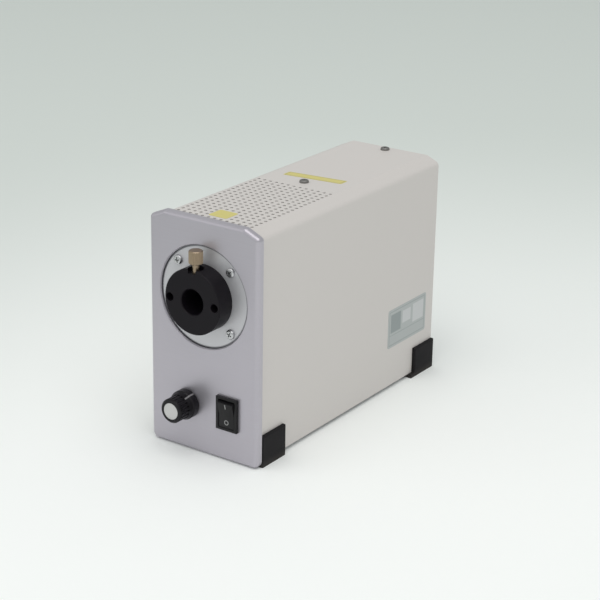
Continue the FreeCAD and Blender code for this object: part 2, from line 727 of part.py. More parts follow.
switch_hole = frame((size.switch_right - switch_cut_half, size.switch_right + switch_cut_half),
                    (size.switch_height - switch_cut_rise, size.switch_height + switch_cut_rise))
pocket(panel, new_sketch(panel, "xz", [port, control_hole, switch_hole]))


def port_rim(edge):
    """The round port's front edge, in the body's own frame."""
    box = edge.BoundBox
    return box.YMax < 0.001 and abs(box.XLength - size.port_bore.value) < 0.01


rounded(panel, size.port_chamfer, port_rim, "PartDesign::Chamfer")
keep(panel)


# Cover: a folded and painted sheet with bevelled top edges and a perforated vent over the lamp

cover_front = flange_front
cover = new_body("cover")
outer = case_outline(cover_inset, chassis_lift)
inner = case_outline(cover_inner, chassis_lift)
fold = [outer[1], outer[2], outer[3], outer[4], outer[5], outer[0],
        inner[0], inner[5], inner[4], inner[3], inner[2], inner[1]]
pad(cover, new_sketch(cover, "xz", [fold], -cover_front), size.case_depth - cover_front, backwards=True)
rounded(cover, size.cover_bend, lambda edge: at_corner(edge, outer[2:]))
rounded(cover, size.cover_bend - size.cover_wall, lambda edge: at_corner(edge, inner[2:]))
cover_screw_hole = shank + 2 * size.slip_gap
pocket(cover, new_sketch(cover, "xy", [circle(0, size.cover_screw_front, cover_screw_hole),
                                       circle(0, size.cover_screw_rear, cover_screw_hole)]))
first_column = -(size.vent_columns - 1) * size.vent_pitch / 2
vent = new_sketch(cover, "xy", [circle(first_column, size.vent_start, size.vent_hole / 2)])
one_hole = pocket(cover, vent)
rows = cover.newObject("PartDesign::LinearPattern", "vent_field")
rows.Originals = [one_hole]
for end, direction, count in (("", "H_Axis", size.vent_columns), ("2", "V_Axis", size.vent_rows)):
    setattr(rows, "Direction" + end, (vent, [direction]))
    setattr(rows, "Mode" + end, "Spacing")
    setattr(rows, "Offset" + end, size.vent_pitch.value)
    bind(rows, "Offset" + end, size.vent_pitch)
    setattr(rows, "Occurrences" + end, int(count.value))
    bind(rows, "Occurrences" + end, count)
cover.Tip = rows
keep(cover)

# Chassis: front wall, floor, rear wall and a top tab for the rear cover screw, bent from one sheet

chassis_outline = case_outline(chassis_inset, chassis_lift, size.chassis_blunt)
wall_port = circle(0, size.guide_height, size.port_bore / 2 + size.slip_gap)
front_sheet = slab("xz", [chassis_outline, wall_port, control_hole, switch_hole], chassis_front, flange_front)
floor = block((-chassis_half, chassis_half), (chassis_front, size.case_depth), (chassis_lift, floor_top))
fan_low = size.fan_height - size.fan_pitch / 2
fan_spots = [(side * size.fan_pitch / 2, fan_low + level * size.fan_pitch)
             for side in (-1, 1) for level in (0, 1)]
fan_holes = [circle(x, z, clear_hole) for x, z in fan_spots]
inlet_half = size.inlet_body_width / 2
inlet_rise = size.inlet_body_tall / 2
inlet_cut_half = inlet_half + size.slip_gap
inlet_cut_rise = inlet_rise + size.slip_gap
inlet_cut = frame((-inlet_cut_half, inlet_cut_half),
                  (size.inlet_height - inlet_cut_rise, size.inlet_height + inlet_cut_rise))
inlet_screw_x = (size.inlet_width / 2 + inlet_half) / 2
inlet_holes = [circle(side * inlet_screw_x, size.inlet_height, clear_hole) for side in (-1, 1)]
fan_hole = circle(0, size.fan_height, size.fan_bore / 2)
rear_sheet = slab("xz", [chassis_outline, fan_hole, *fan_holes, inlet_cut, *inlet_holes], rear_wall,
                  size.case_depth)
cover_tab = (-size.cover_tab_width / 2, size.cover_tab_width / 2)
rear_tab = block(cover_tab, (rear_wall - size.tab_reach, size.case_depth),
                 (chassis_top - size.chassis_wall, chassis_top))
folded = fuse(front_sheet, floor, rear_sheet, rear_tab)
peg_x = cover_half - size.foot_under / 2
front_peg_y = size.panel_depth + size.tuck_gap + size.foot_length / 2
rear_peg_y = size.case_depth - size.foot_length / 2
pegs = [(side * peg_x, y) for side in (-1, 1) for y in (front_peg_y, rear_peg_y)]
peg_radius = size.peg_width / 2
stud_half = size.thread_bore / 2
tie_x = size.tie_pitch / 2
board_back = size.board_place + size.board_length
board_x = size.board_width / 2 - size.board_inset
board_spots = [(side * board_x, y) for side in (-1, 1)
               for y in (size.board_place + size.board_inset, board_back - size.board_inset)]
bulkhead_back = size.bulkhead_place + size.chassis_wall
bulkhead_spots = [(side * tie_x, bulkhead_back + size.tab_reach / 2) for side in (-1, 1)]
bracket_reach = size.strap_foot
core_back = size.core_place + size.core_stack
core_spots = [(side * tie_x, y) for side in (-1, 1)
              for y in (size.core_place - size.chassis_wall - bracket_reach / 2,
                        core_back + size.chassis_wall + bracket_reach / 2)]
floor_holes = [rod("z", peg_radius + size.slip_gap, chassis_lift, floor_top, *spot) for spot in pegs]
floor_holes += [rod("z", shank_hole, chassis_lift, floor_top, *spot) for spot in bulkhead_spots + core_spots]
floor_holes += [rod("z", stud_half, chassis_lift, floor_top, *spot) for spot in board_spots]
slot_half = size.floor_slot_length / 2
slot_starts = [size.floor_slot_start + step * size.floor_slot_pitch
               for step in range(int(size.floor_slots.value))]
floor_holes += [block((-slot_half, slot_half), (y, y + size.floor_slot_width), (chassis_lift, floor_top))
                for y in slot_starts]
tab_hole = rod("z", shank_hole, chassis_top - size.chassis_wall, chassis_top, 0, size.cover_screw_rear)
keep(cut(folded, *floor_holes, tab_hole, name="base_chassis"))

# Corner feet: a rubber pad under the chassis, a flap up the cover's side and a peg through the floor

foot_out = cover_half + size.foot_wall


def outer_top(edge):
    """The edges of a foot's flap round its outer face, in the body's own frame."""
    box = edge.BoundBox
    return abs(box.XMin) < 0.001 and box.XLength < 0.001 and box.ZMax > size.foot_height.value / 2


for front_row in (True, False):
    if front_row:
        low = size.panel_depth + size.tuck_gap
        high = low + size.foot_length
        toe = low
        peg_y = front_peg_y
    else:
        high = size.case_depth
        low = high - size.foot_length
        toe = low - size.foot_toe
        peg_y = rear_peg_y
    for side, side_word in ((-1, "left"), (1, "right")):
        name = f"foot_{'front' if front_row else 'rear'}_{side_word}"
        foot = new_body(name, side * foot_out, low)
        tall = sorted((0 * foot_out, -side * size.foot_wall), key=value)
        wide = sorted((0 * foot_out, -side * size.foot_under), key=value)
        flap = new_sketch(foot, "xy", [frame(tall, (0, high - low))])
        pad(foot, flap, size.foot_height)
        sole = new_sketch(foot, "xy", [frame(wide, (toe - low, high - low))])
        pad(foot, sole, chassis_lift)
        rounded(foot, size.foot_bend, outer_top)
        peg_spot = (side * (peg_x - foot_out), peg_y - low)
        peg = new_sketch(foot, "xy", [circle(*peg_spot, peg_radius)], chassis_lift)
        pad(foot, peg, size.chassis_wall + size.slip_gap)
        barb = new_sketch(foot, "xy", [circle(*peg_spot, peg_radius + size.barb_reach)],
                          floor_top + size.slip_gap)
        pad(foot, barb, size.barb_length)
        keep(foot)

# Flange plate and the light guide adapter that passes through it

spigot_hole = size.spigot_width / 2 + size.slip_gap
flange_spots = [(side * size.flange_pitch / 2, size.guide_height + level * size.flange_pitch / 2)
                for side in (-1, 1) for level in (-1, 1)]
flange_half = size.flange_side / 2
guide_axis = size.guide_height
flange_edge = frame((-flange_half, flange_half), (guide_axis - flange_half, guide_axis + flange_half))
flange_holes = [circle(x, z, shank_hole) for x, z in flange_spots]
spigot_port = circle(0, guide_axis, spigot_hole)
boss_front = flange_front - size.boss_rise
boss_edge = circle(0, guide_axis, size.port_bore / 2 - size.boss_gap)
flange_square = slab("xz", [flange_edge, spigot_port, *flange_holes], flange_front, tray_front)
flange_boss = slab("xz", [boss_edge, spigot_port, *flange_holes], boss_front, flange_front)
keep(fuse(flange_square, flange_boss, name="flange_plate"))
flange_screw_length = size.boss_rise + size.flange_wall + size.chassis_wall + size.flange_screw_end
flange_screws = [screw("y", x, boss_front, z, flange_screw_length) for x, z in flange_spots]
keep(group(*flange_screws, name="flange_screws"))

spigot_end = tray_front + size.chassis_wall + size.lock_ring_length + size.spigot_past_ring
barrel_front = -size.adapter_reach + size.barrel_chamfer
barrel = fuse(rod("y", adapter_half, barrel_front, boss_front, 0, guide_axis),
              cone("y", adapter_half - size.barrel_chamfer, adapter_half, -size.adapter_reach, barrel_front,
                   0, guide_axis),
              rod("y", size.spigot_width / 2, boss_front, spigot_end, 0, guide_axis))
bore_half = size.guide_bore / 2
clamp_y = size.clamp_set_back - size.adapter_reach
seat_z = guide_axis + adapter_half - size.clamp_seat_depth
key_holes = [rod("y", size.key_hole / 2, -size.adapter_reach, size.key_depth - size.adapter_reach,
                 side * size.key_pitch / 2, guide_axis) for side in (-1, 1)]
seat = rod("z", size.clamp_seat_width / 2, seat_z, guide_axis + adapter_half, 0, clamp_y)
clamp_half = size.clamp_thread / 2
clamp_hole = rod("z", clamp_half + size.run_gap, guide_axis, seat_z, 0, clamp_y)
bore = rod("y", bore_half, -size.adapter_reach, spigot_end, 0, guide_axis)
bore_mouth = cone("y", bore_half + size.bore_chamfer, bore_half, -size.adapter_reach,
                  size.bore_chamfer - size.adapter_reach, 0, guide_axis)
keep(cut(barrel, bore, bore_mouth, seat, clamp_hole, *key_holes, name="light_guide_adapter"))

ring_front = tray_front + size.chassis_wall
ring_back = ring_front + size.lock_ring_length
lock_blank = slab("xz", [circle(0, guide_axis, size.lock_ring_width / 2), spigot_port], ring_front, ring_back)
slot_rise = size.ring_slot / 2
ring_slots = [block((x - slot_rise, x + slot_rise), (ring_back - size.ring_slot_depth, ring_back),
                    (guide_axis - slot_rise, guide_axis + slot_rise))
              for x in (-size.lock_ring_width / 2, size.lock_ring_width / 2)]
keep(cut(lock_blank, *ring_slots, name="adapter_lock_ring"))

# Clamp screw: a knurled brass head on a threaded shank, and a soft pad that rides on its end

pad_low = guide_axis + bore_half + size.clamp_rest_gap
pad_high = pad_low + size.pad_length
head_low = seat_z + size.clamp_head_lift
head_high = head_low + size.clamp_head_length
clamp_screw = new_body("thumb_screw", 0, clamp_y, pad_high + size.run_gap)
shank_low = pad_high + size.run_gap
head_radius = size.clamp_head_width / 2
head_start = head_low - shank_low
head_end = head_high - shank_low
bevel = size.clamp_chamfer
profile = [(0, 0), (clamp_half, 0), (clamp_half, head_start), (head_radius - bevel, head_start),
           (head_radius, head_start + bevel), (head_radius, head_end - bevel),
           (head_radius - bevel, head_end), (0, head_end)]
turned(clamp_screw, new_sketch(clamp_screw, "xz", [profile]), "V_Axis")
stem_hole = new_sketch(clamp_screw, "xy", [circle(0, 0, size.pad_stem / 2 + size.run_gap)])
pocket(clamp_screw, stem_hole, size.stem_length + size.run_gap, backwards=True)
knurl = new_sketch(clamp_screw, "xy", [circle(head_radius + 0.15, 0, size.knurl_width / 2)], head_start)
one_groove = pocket(clamp_screw, knurl, size.clamp_head_length, backwards=True)
knurls = clamp_screw.newObject("PartDesign::PolarPattern", "knurls")
knurls.Originals = [one_groove]
knurls.Axis = (knurl, ["N_Axis"])
knurls.Angle = 360
knurls.Occurrences = int(size.knurl_count.value)
bind(knurls, "Occurrences", size.knurl_count)
clamp_screw.Tip = knurls
keep(clamp_screw)
keep(fuse(rod("z", size.pad_width / 2, pad_low, pad_high, 0, clamp_y),
          rod("z", size.pad_stem / 2, pad_high, pad_high + size.stem_length, 0, clamp_y),
          name="thumb_screw_tip"))

# Brightness control: a case behind the panel, its bush through the panel, washer, nut and solder lugs

knob_x = -size.knob_left
knob_z = size.knob_height
bush_half = size.bush_width / 2
shaft_half = size.shaft_width / 2
control_back = flange_front + size.control_length
control_case = fuse(rod("y", size.control_width / 2, flange_front, control_back, knob_x, knob_z),
                    rod("y", bush_half, -size.bush_reach, flange_front, knob_x, knob_z))
room_front = flange_front + size.control_wall
room_half = size.control_width / 2 - size.control_wall
wiper_room = rod("y", room_half, room_front, control_back - size.control_wall, knob_x, knob_z)
bush_bore = rod("y", shaft_half + size.run_gap, -size.bush_reach, room_front, knob_x, knob_z)
keep(cut(control_case, wiper_room, bush_bore, name="control_body"))
washer_loops = [circle(knob_x, knob_z, radius)
                for radius in (size.washer_width / 2, bush_half + size.slip_gap)]
keep(slab("xz", washer_loops, -size.washer_wall, 0 * size.washer_wall, "control_washer"))
half_flat = size.nut_across / 2
corner = half_flat / Size("cos(30)", math.cos(math.radians(30)))
hexagon = [(corner, 0), (corner / 2, half_flat), (-corner / 2, half_flat), (-corner, 0),
           (-corner / 2, -half_flat), (corner / 2, -half_flat)]
hexagon = [(knob_x + x, knob_z + z) for x, z in hexagon]
nut_loops = [hexagon, circle(knob_x, knob_z, bush_half + size.slip_gap)]
keep(slab("xz", nut_loops, -size.washer_wall - size.nut_length, -size.washer_wall, "control_nut"))
lug_top = knob_z - size.control_width / 2 + 1
lug_half = size.lug_width / 2
lug_rise = (lug_top - size.lug_length / 2, lug_top + size.lug_length / 2)
lugs = [block((knob_x + x - lug_half, knob_x + x + lug_half), (control_back, control_back + size.lug_wall),
              lug_rise)
        for x in (-size.lug_pitch, 0 * size.lug_pitch, size.lug_pitch)]
keep(group(*lugs, name="control_lugs"))

# Control knob: skirt, cone and fluted grip, a bright cap in its face, and the shaft it is pinned to

knob = new_body("control_knob", knob_x, -size.knob_reach, knob_z)
knob_length = size.knob_reach - size.knob_lift
grip_half = size.grip_width / 2
skirt_half = size.skirt_width / 2
cone_start = knob_length - size.skirt_length - size.shoulder_length
cap_half = size.cap_width / 2
hub_room = corner + size.nut_room
room_depth = size.bush_reach + 0.6 - size.knob_lift
bore_end = size.knob_bore_end
profile = [(0, size.cap_wall), (cap_half, size.cap_wall), (cap_half, 0),
           (grip_half - size.rim_chamfer, 0), (grip_half, size.rim_chamfer),
           (grip_half, cone_start), (skirt_half - 0.4, knob_length - size.skirt_length),
           (skirt_half, knob_length - size.skirt_length + 0.6), (skirt_half, knob_length),
           (hub_room, knob_length), (hub_room, knob_length - room_depth),
           (shaft_half, knob_length - room_depth),
           (shaft_half, bore_end), (0, bore_end)]
turned(knob, new_sketch(knob, "xy", [profile]), "V_Axis")
flute = new_sketch(knob, "xz", [circle(grip_half + 0.2, 0, size.flute_width / 2)], -0.9)
one_flute = pocket(knob, flute, cone_start, backwards=False)
flutes = knob.newObject("PartDesign::PolarPattern", "flutes")
flutes.Originals = [one_flute]
flutes.Axis = (flute, ["N_Axis"])
flutes.Angle = 360
flutes.Occurrences = int(size.flute_count.value)
bind(flutes, "Occurrences", size.flute_count)
knob.Tip = flutes
doc.recompute()
set_screw_y = knob_length - room_depth - size.set_screw_back
set_hole = new_sketch(knob, "xy", [circle(0, set_screw_y, shank + size.slip_gap)], -skirt_half)
pocket(knob, set_hole, skirt_half, backwards=True)
keep(knob)
cap_front = -size.knob_reach
keep(rod("y", cap_half, cap_front, cap_front + size.cap_wall, knob_x, knob_z))
parts[-1].Label = "knob_cap"
set_y = set_screw_y - size.knob_reach
set_low = knob_z - shaft_half - size.set_screw_length
set_blank = rod("z", shank, set_low, knob_z - shaft_half, knob_x, set_y)
key_socket = rod("z", shank / 2, set_low, set_low + size.set_screw_length / 2, knob_x, set_y)
keep(cut(set_blank, key_socket, name="knob_set_screw"))
wiper_front = room_front + size.slip_gap
wiper_back = wiper_front + size.wiper_wall
keep(fuse(rod("y", shaft_half, bore_end - size.knob_reach, wiper_back, knob_x, knob_z),
          rod("y", size.wiper_width / 2, wiper_front, wiper_back, knob_x, knob_z),
          name="control_shaft"))

# Rocker switch: a housing with a bezel, a rocker on two pins and spade terminals

switch_x = size.switch_right
switch_z = size.switch_height
bezel_half = size.bezel_width / 2
bezel_rise = size.bezel_height / 2
housing_half = size.switch_body_width / 2
housing_rise = size.switch_body_height / 2
paddle_half = size.paddle_width / 2
room_half = paddle_half + 3 * size.slip_gap
room_rise = size.paddle_height / 2 + 0.3
room_back = size.switch_body_length - size.switch_back_wall
spade_half = size.blade_width / 2
spade_front = room_back + 4 * size.slip_gap
pin_half = size.paddle_pin / 2
pin_reach = room_half + 0.6
bezel = block((switch_x - bezel_half, switch_x + bezel_half), (-size.bezel_reach, 0 * size.bezel_reach),
              (switch_z - bezel_rise, switch_z + bezel_rise))
housing = block((switch_x - housing_half, switch_x + housing_half), (0, size.switch_body_length),
                (switch_z - housing_rise, switch_z + housing_rise))
switch_room = block((switch_x - room_half, switch_x + room_half), (-size.bezel_reach, room_back),
                    (switch_z - room_rise, switch_z + room_rise))
pin_room = rod("x", pin_half + size.run_gap, switch_x - pin_reach, switch_x + pin_reach,
               size.paddle_pivot, switch_z)
blades = [((switch_x - spade_half, switch_x + spade_half), (spade_front, spade_front + size.spade_length),
           (z - size.spade_wall / 2, z + size.spade_wall / 2))
          for z in (switch_z - size.spade_low, switch_z + size.spade_high)]
slots = [block(*spans) for spans in blades]
keep(cut(fuse(bezel, housing), switch_room, pin_room, *slots, name="switch_housing"))
keep(group(*[block(*spans) for spans in blades], name="switch_terminals"))
paddle_turn = Rotation(Vector(1, 0, 0), size.paddle_tilt.value)
rocker = new_body("rocker", switch_x, size.paddle_pivot, switch_z, paddle_turn)
bind(rocker, "Placement.Rotation.Angle", size.paddle_tilt)
crown = size.paddle_pivot + size.bezel_reach - 0.2
paddle_end = size.paddle_height / 2 - 0.5
brow = crown + paddle_end * size.paddle_tilt.tan()
waist = size.paddle_height / 2 + 0.1
paddle = [(-crown, 0), (-brow, paddle_end), (0, waist), (1.2, paddle_end - 0.7), (1.6, 2.2), (5.5, 1.2),
          (5.5, -1.2), (1.6, -2.2), (1.2, 0.7 - paddle_end), (0, -waist), (-brow, -paddle_end)]
pad(rocker, new_sketch(rocker, "yz", [paddle]), size.paddle_width, centred=True)
pin_length = 2 * pin_reach - 4 * size.slip_gap
pad(rocker, new_sketch(rocker, "yz", [circle(0, 0, pin_half)]), pin_length, centred=True)
keep(rocker)

# Lamp tray: a folded bracket behind the flange plate that carries the heat glass and the lamp

tray_half = size.board_width / 2
tray_low = size.tray_height
tray_top = tray_low + size.chassis_wall
tray_edge = frame((-tray_half, tray_half), (tray_low, size.guide_height + flange_half))
tray_wall = slab("xz", [tray_edge, spigot_port, *flange_holes], tray_front, ring_front)
bulkhead_front = size.bulkhead_place
tray_floor = block((-tray_half, tray_half), (tray_front, bulkhead_front), (tray_low, tray_top))
tab_front = bulkhead_front - size.chassis_wall
tray_tab = block((-tray_half, tray_half), (tab_front, bulkhead_front),
                 (tray_low, tray_low + size.tray_tab_height))
tab_spots = [(side * size.tray_tie_pitch / 2, tray_low + size.tray_tie_rise) for side in (-1, 1)]
tab_holes = [rod("y", shank_hole, tab_front, bulkhead_front, x, z) for x, z in tab_spots]
holder_back = size.filter_place + size.filter_wall + size.chassis_wall
holder_foot = holder_back - size.tab_reach
bracket_back = size.lamp_place
bracket_foot = bracket_back - size.tab_reach
holder_half = size.holder_width / 2
holder_spots = [(side * (holder_half - size.tie_inset), holder_foot + size.tie_inset) for side in (-1, 1)]
bracket_spots = [(side * tie_x, bracket_foot + size.tie_inset) for side in (-1, 1)]
tray_holes = [rod("z", shank_hole, tray_low, tray_top, *spot) for spot in holder_spots + bracket_spots]
keep(cut(fuse(tray_wall, tray_floor, tray_tab), *tab_holes, *tray_holes, name="lamp_tray"))

# Bulkhead: a cross wall with a round air hole, tabs to the floor and to the front cover screw

bulkhead_outline = case_outline(chassis_inset, floor_top, size.chassis_blunt)
air_hole = circle(0, guide_axis, size.lamp_width / 2)
cable_low = floor_top + size.cable_slot_low
cable_slot = frame((-size.cable_slot_width / 2, size.cable_slot_width / 2),
                   (cable_low, cable_low + size.cable_slot_tall))
bulkhead_tabs = [circle(x, z, shank_hole) for x, z in tab_spots]
wall = slab("xz", [bulkhead_outline, air_hole, cable_slot, *bulkhead_tabs], bulkhead_front, bulkhead_back)
tab_half = size.bulkhead_tab_width / 2
bottom_tab = block((-tab_half, tab_half), (bulkhead_front, bulkhead_back + size.tab_reach),
                   (floor_top, floor_top + size.chassis_wall))
top_tab = block(cover_tab, (bulkhead_front, bulkhead_back + size.tab_reach),
                (chassis_top - size.chassis_wall, chassis_top))
tab_drills = [rod("z", shank_hole, floor_top, floor_top + size.chassis_wall, *spot)
              for spot in bulkhead_spots]
top_drill = rod("z", shank_hole, chassis_top - size.chassis_wall, chassis_top, 0, size.cover_screw_front)
keep(cut(fuse(wall, bottom_tab, top_tab), *tab_drills, top_drill, name="bulkhead"))

# Heat glass in its holder, held by four spring clips

filter_front = size.filter_place
filter_back = filter_front + size.filter_wall
filter_half = size.filter_width / 2
holder_edge = frame((-holder_half, holder_half), (tray_top, guide_axis + holder_half))
holder_hole = circle(0, guide_axis, filter_half - size.holder_lip)
holder_wall = slab("xz", [holder_edge, holder_hole], filter_back, holder_back)
flap_rise = (tray_top, tray_top + size.chassis_wall)
holder_flap = block((-holder_half, holder_half), (holder_foot, holder_back), flap_rise)
holder_drills = [rod("z", shank_hole, tray_top, tray_top + size.chassis_wall, *spot) for spot in holder_spots]
keep(cut(fuse(holder_wall, holder_flap), *holder_drills, name="filter_holder"))
keep(rod("y", filter_half, filter_front, filter_back, 0, guide_axis))
parts[-1].Label = "heat_filter"
near = filter_half + size.clip_gap
far = near + size.clip_wall
clip_half = size.clip_width / 2
clip_front = filter_front - size.clip_front
clips = []
for side in (-1, 1):
    legs = [sorted((side * near, side * far), key=value),
            sorted((side * (near - size.clip_lip), side * far), key=value)]
    for upright in (False, True):
        across = (-clip_half, clip_half)
        spans = [[across, leg] if upright else [leg, across] for leg in legs]
        spans = [(x, (guide_axis + z[0], guide_axis + z[1])) for x, z in spans]
        leg = block(spans[0][0], (clip_front, filter_back), spans[0][1])
        lip = block(spans[1][0], (clip_front, filter_front), spans[1][1])
        clips.append(fuse(leg, lip))
keep(group(*clips, name="filter_clips"))

# Lamp: a bracket and a retaining strap hold the reflector by its rim; the bulb's base plugs into a socket

rim_half = size.lamp_width / 2
rim_back = bracket_back + size.lamp_rim
bowl = rim_half - size.lamp_step
bracket_front = bracket_back - size.chassis_wall
bracket_half = size.lamp_bracket_width / 2
bracket_edge = frame((-bracket_half, bracket_half), (tray_top, guide_axis + bracket_half))
strap_x = rim_half + size.strap_gap
strap_out = strap_x + size.strap_wall
strap_half = size.strap_width / 2
strap_slots = [sorted((side * (strap_x - size.slip_gap), side * (strap_out + size.slip_gap)), key=value)
               for side in (-1, 1)]
strap_rise = (guide_axis - strap_half - size.slip_gap, guide_axis + strap_half + size.slip_gap)
bracket_loops = [bracket_edge, circle(0, guide_axis, rim_half - size.lamp_ledge)]
bracket_loops += [frame(span, strap_rise) for span in strap_slots]
bracket_wall = slab("xz", bracket_loops, bracket_front, bracket_back)
bracket_flap = block((-bracket_half, bracket_half), (bracket_foot, bracket_back), flap_rise)
bracket_drills = [rod("z", shank_hole, tray_top, tray_top + size.chassis_wall, *spot)
                  for spot in bracket_spots]
keep(cut(fuse(bracket_wall, bracket_flap), *bracket_drills, name="lamp_bracket"))
bowl_gap = bowl + size.clip_gap
ring_loops = [circle(0, guide_axis, bowl_gap + size.strap_ring), circle(0, guide_axis, bowl_gap)]
strap_back = rim_back + size.strap_ring_wall
hook_back = bracket_front - size.clip_gap
hook_front = hook_back - size.strap_wall
strap_parts = [slab("xz", ring_loops, rim_back, strap_back)]
for side in (-1, 1):
    arm = sorted((side * (bowl_gap + size.ring_lap), side * strap_out), key=value)
    leg = sorted((side * strap_x, side * strap_out), key=value)
    hook = sorted((side * strap_x, side * (strap_out + size.strap_hook)), key=value)
    for span, front, back in ((arm, rim_back, strap_back), (leg, hook_front, strap_back),
                              (hook, hook_front, hook_back)):
        strap_parts.append(block(span, (front, back), (guide_axis - strap_half, guide_axis + strap_half)))
keep(fuse(*strap_parts, name="lamp_retainer"))


def ball(radius, y, z):
    thing = doc.addObject("Part::Sphere", "ball")
    thing.Radius = value(radius)
    bind(thing, "Radius", radius)
    return place(thing, 0, y, z)


neck_half = size.lamp_neck / 2
bowl_inner = bowl - size.lamp_glass
neck_front = rim_back + bowl - size.neck_depth
shell = fuse(rod("y", rim_half, bracket_back, rim_back, 0, guide_axis), ball(bowl, rim_back, guide_axis))
front_half = rod("y", rim_half, bracket_back - bowl, bracket_back, 0, guide_axis)
bowl_room = fuse(rod("y", bowl_inner, bracket_back, rim_back, 0, guide_axis),
                 ball(bowl_inner, rim_back, guide_axis))
neck_room = rod("y", neck_half + size.run_gap, neck_front, rim_back + bowl, 0, guide_axis)
keep(cut(shell, front_half, bowl_room, neck_room, name="lamp_reflector"))
base_back = neck_front + size.lamp_base_length
bulb_front = neck_front - size.bulb_length
bulb_half = size.bulb_width / 2
pinch_x = size.pinch_width / 2
pinch_z = size.pinch_wall / 2
pinch_rise = (guide_axis - pinch_z, guide_axis + pinch_z)
pinch_back = neck_front + size.pinch_wall
bulb_back = neck_front - size.neck_depth
bulb = fuse(rod("y", bulb_half, bulb_front, bulb_back, 0, guide_axis),
            ball(bulb_half, bulb_front, guide_axis),
            block((-pinch_x, pinch_x), (bulb_back, pinch_back), pinch_rise), name="lamp_bulb")
keep(bulb)
pinch = block((-pinch_x, pinch_x), (neck_front, pinch_back), pinch_rise)
base_rod = cut(rod("y", neck_half, neck_front, base_back, 0, guide_axis), pinch)
pin_x = size.lamp_pin_pitch / 2
pin_half_lamp = size.lamp_pin / 2
lamp_pins = [rod("y", pin_half_lamp, base_back, base_back + size.lamp_pin_length, side * pin_x, guide_axis)
             for side in (-1, 1)]
keep(fuse(base_rod, *lamp_pins, name="lamp_base"))
socket_front = base_back + size.socket_gap
socket_back = socket_front + size.socket_length
block_x = size.socket_width_across / 2
block_z = size.socket_rise / 2
socket_block = block((-block_x, block_x), (socket_front, socket_back),
                     (guide_axis - block_z, guide_axis + block_z))
pin_end = base_back + size.lamp_pin_length + size.lamp_pin_room
socket_holes = [rod("y", pin_half_lamp + size.run_gap, socket_front, pin_end, side * pin_x, guide_axis)
                for side in (-1, 1)]
keep(cut(socket_block, *socket_holes, name="lamp_socket"))

# Control board on four standoffs, with what drives the lamp

board_low = size.board_height
board_top = board_low + size.board_wall
board_edge = frame((-tray_half, tray_half), (size.board_place, board_back))
board_holes = [circle(x, y, clear_hole) for x, y in board_spots]
sink_y = size.board_place + size.sink_back
triac_y = sink_y + size.triac_back
leg_half = size.triac_leg / 2
leg_x = -size.sink_left - size.triac_depth / 2
leg_middles = [triac_y + size.triac_width / 2 + step * size.triac_leg_pitch for step in (-1, 0, 1)]
leg_spans = [((leg_x - leg_half, leg_x + leg_half), (y - leg_half, y + leg_half)) for y in leg_middles]
leg_holes = [frame(*span) for span in leg_spans]
keep(slab("xy", [board_edge, *board_holes, *leg_holes], board_low, board_top, "control_board"))
standoffs = []
for spot in board_spots:
    post = fuse(rod("z", size.standoff_width / 2, floor_top, board_low, *spot),
                rod("z", stud_half, chassis_lift, floor_top, *spot))
    standoffs.append(cut(post, rod("z", shank_hole, board_low - size.standoff_bore, board_low, *spot)))
keep(group(*standoffs, name="board_standoffs"))
sink_x = -size.sink_left
sink_in = sink_x + size.sink_wall
sink_rise = (board_top, board_top + size.sink_height)
sink_base = block((sink_x, sink_in), (sink_y, sink_y + size.sink_length), sink_rise)
fin_gap = (size.sink_length - size.fin_wall) / (size.fin_count - 1)
fin_starts = [sink_y + fin * fin_gap for fin in range(int(size.fin_count.value))]
sink_fins = [block((sink_in, sink_in + size.fin_reach), (y, y + size.fin_wall), sink_rise)
             for y in fin_starts]
keep(fuse(sink_base, *sink_fins, name="triac_heatsink"))
triac_low = board_top + size.triac_lift
triac_high = triac_low + size.triac_height
triac_run = (triac_y, triac_y + size.triac_width)
triac_body = block((sink_x - size.triac_depth, sink_x), triac_run, (triac_low, triac_high))
triac_tab = block((sink_x - size.triac_tab_wall, sink_x), triac_run,
                  (triac_high, triac_high + size.triac_tab_height))
triac_legs = [block(*span, (board_low, triac_low)) for span in leg_spans]
keep(fuse(triac_body, triac_tab, *triac_legs, name="triac"))
wound_x = size.wound_right
can_half = size.can_width / 2
can_top = board_top + size.can_height
capacitor_y = size.board_place + size.can_back
keep(fuse(rod("z", can_half, board_top, can_top, wound_x, capacitor_y),
          cone("z", can_half, can_half - 0.8, can_top, can_top + 0.8, wound_x, capacitor_y),
          name="storage_capacitor"))
choke_y = size.board_place + size.choke_back
choke_half = size.choke_wire / 2
choke_ring = hoop("z", size.choke_ring / 2, choke_half, wound_x, choke_y, board_top + size.choke_lift)
choke_base = rod("z", size.choke_ring / 2 - 2, board_top, board_top + 2.4, wound_x, choke_y)
keep(fuse(choke_ring, choke_base, name="line_choke"))
terminal_y = size.board_place + size.block_depth
terminal_x = -size.block_left
terminal_top = board_top + size.block_height
terminal_body = block((terminal_x, terminal_x + size.block_length),
                      (terminal_y, terminal_y + size.block_depth),
                      (board_top, terminal_top))
ways = [terminal_x + (step + 0.5) * size.way_pitch for step in range(3)]
way_half = size.way_width / 2
terminal_mid = terminal_y + size.block_depth / 2
wire_ways = [rod("y", way_half, terminal_y, terminal_mid + size.way_past, x, board_top + 2 * way_half)
             for x in ways]
well_low = terminal_top - size.way_width
screw_wells = [rod("z", size.well_width / 2, well_low, terminal_top, x, terminal_mid) for x in ways]
keep(cut(terminal_body, *wire_ways, *screw_wells, name="terminal_block"))

# Transformer: a laminated core with two windows, a winding round its middle leg, and two foot brackets

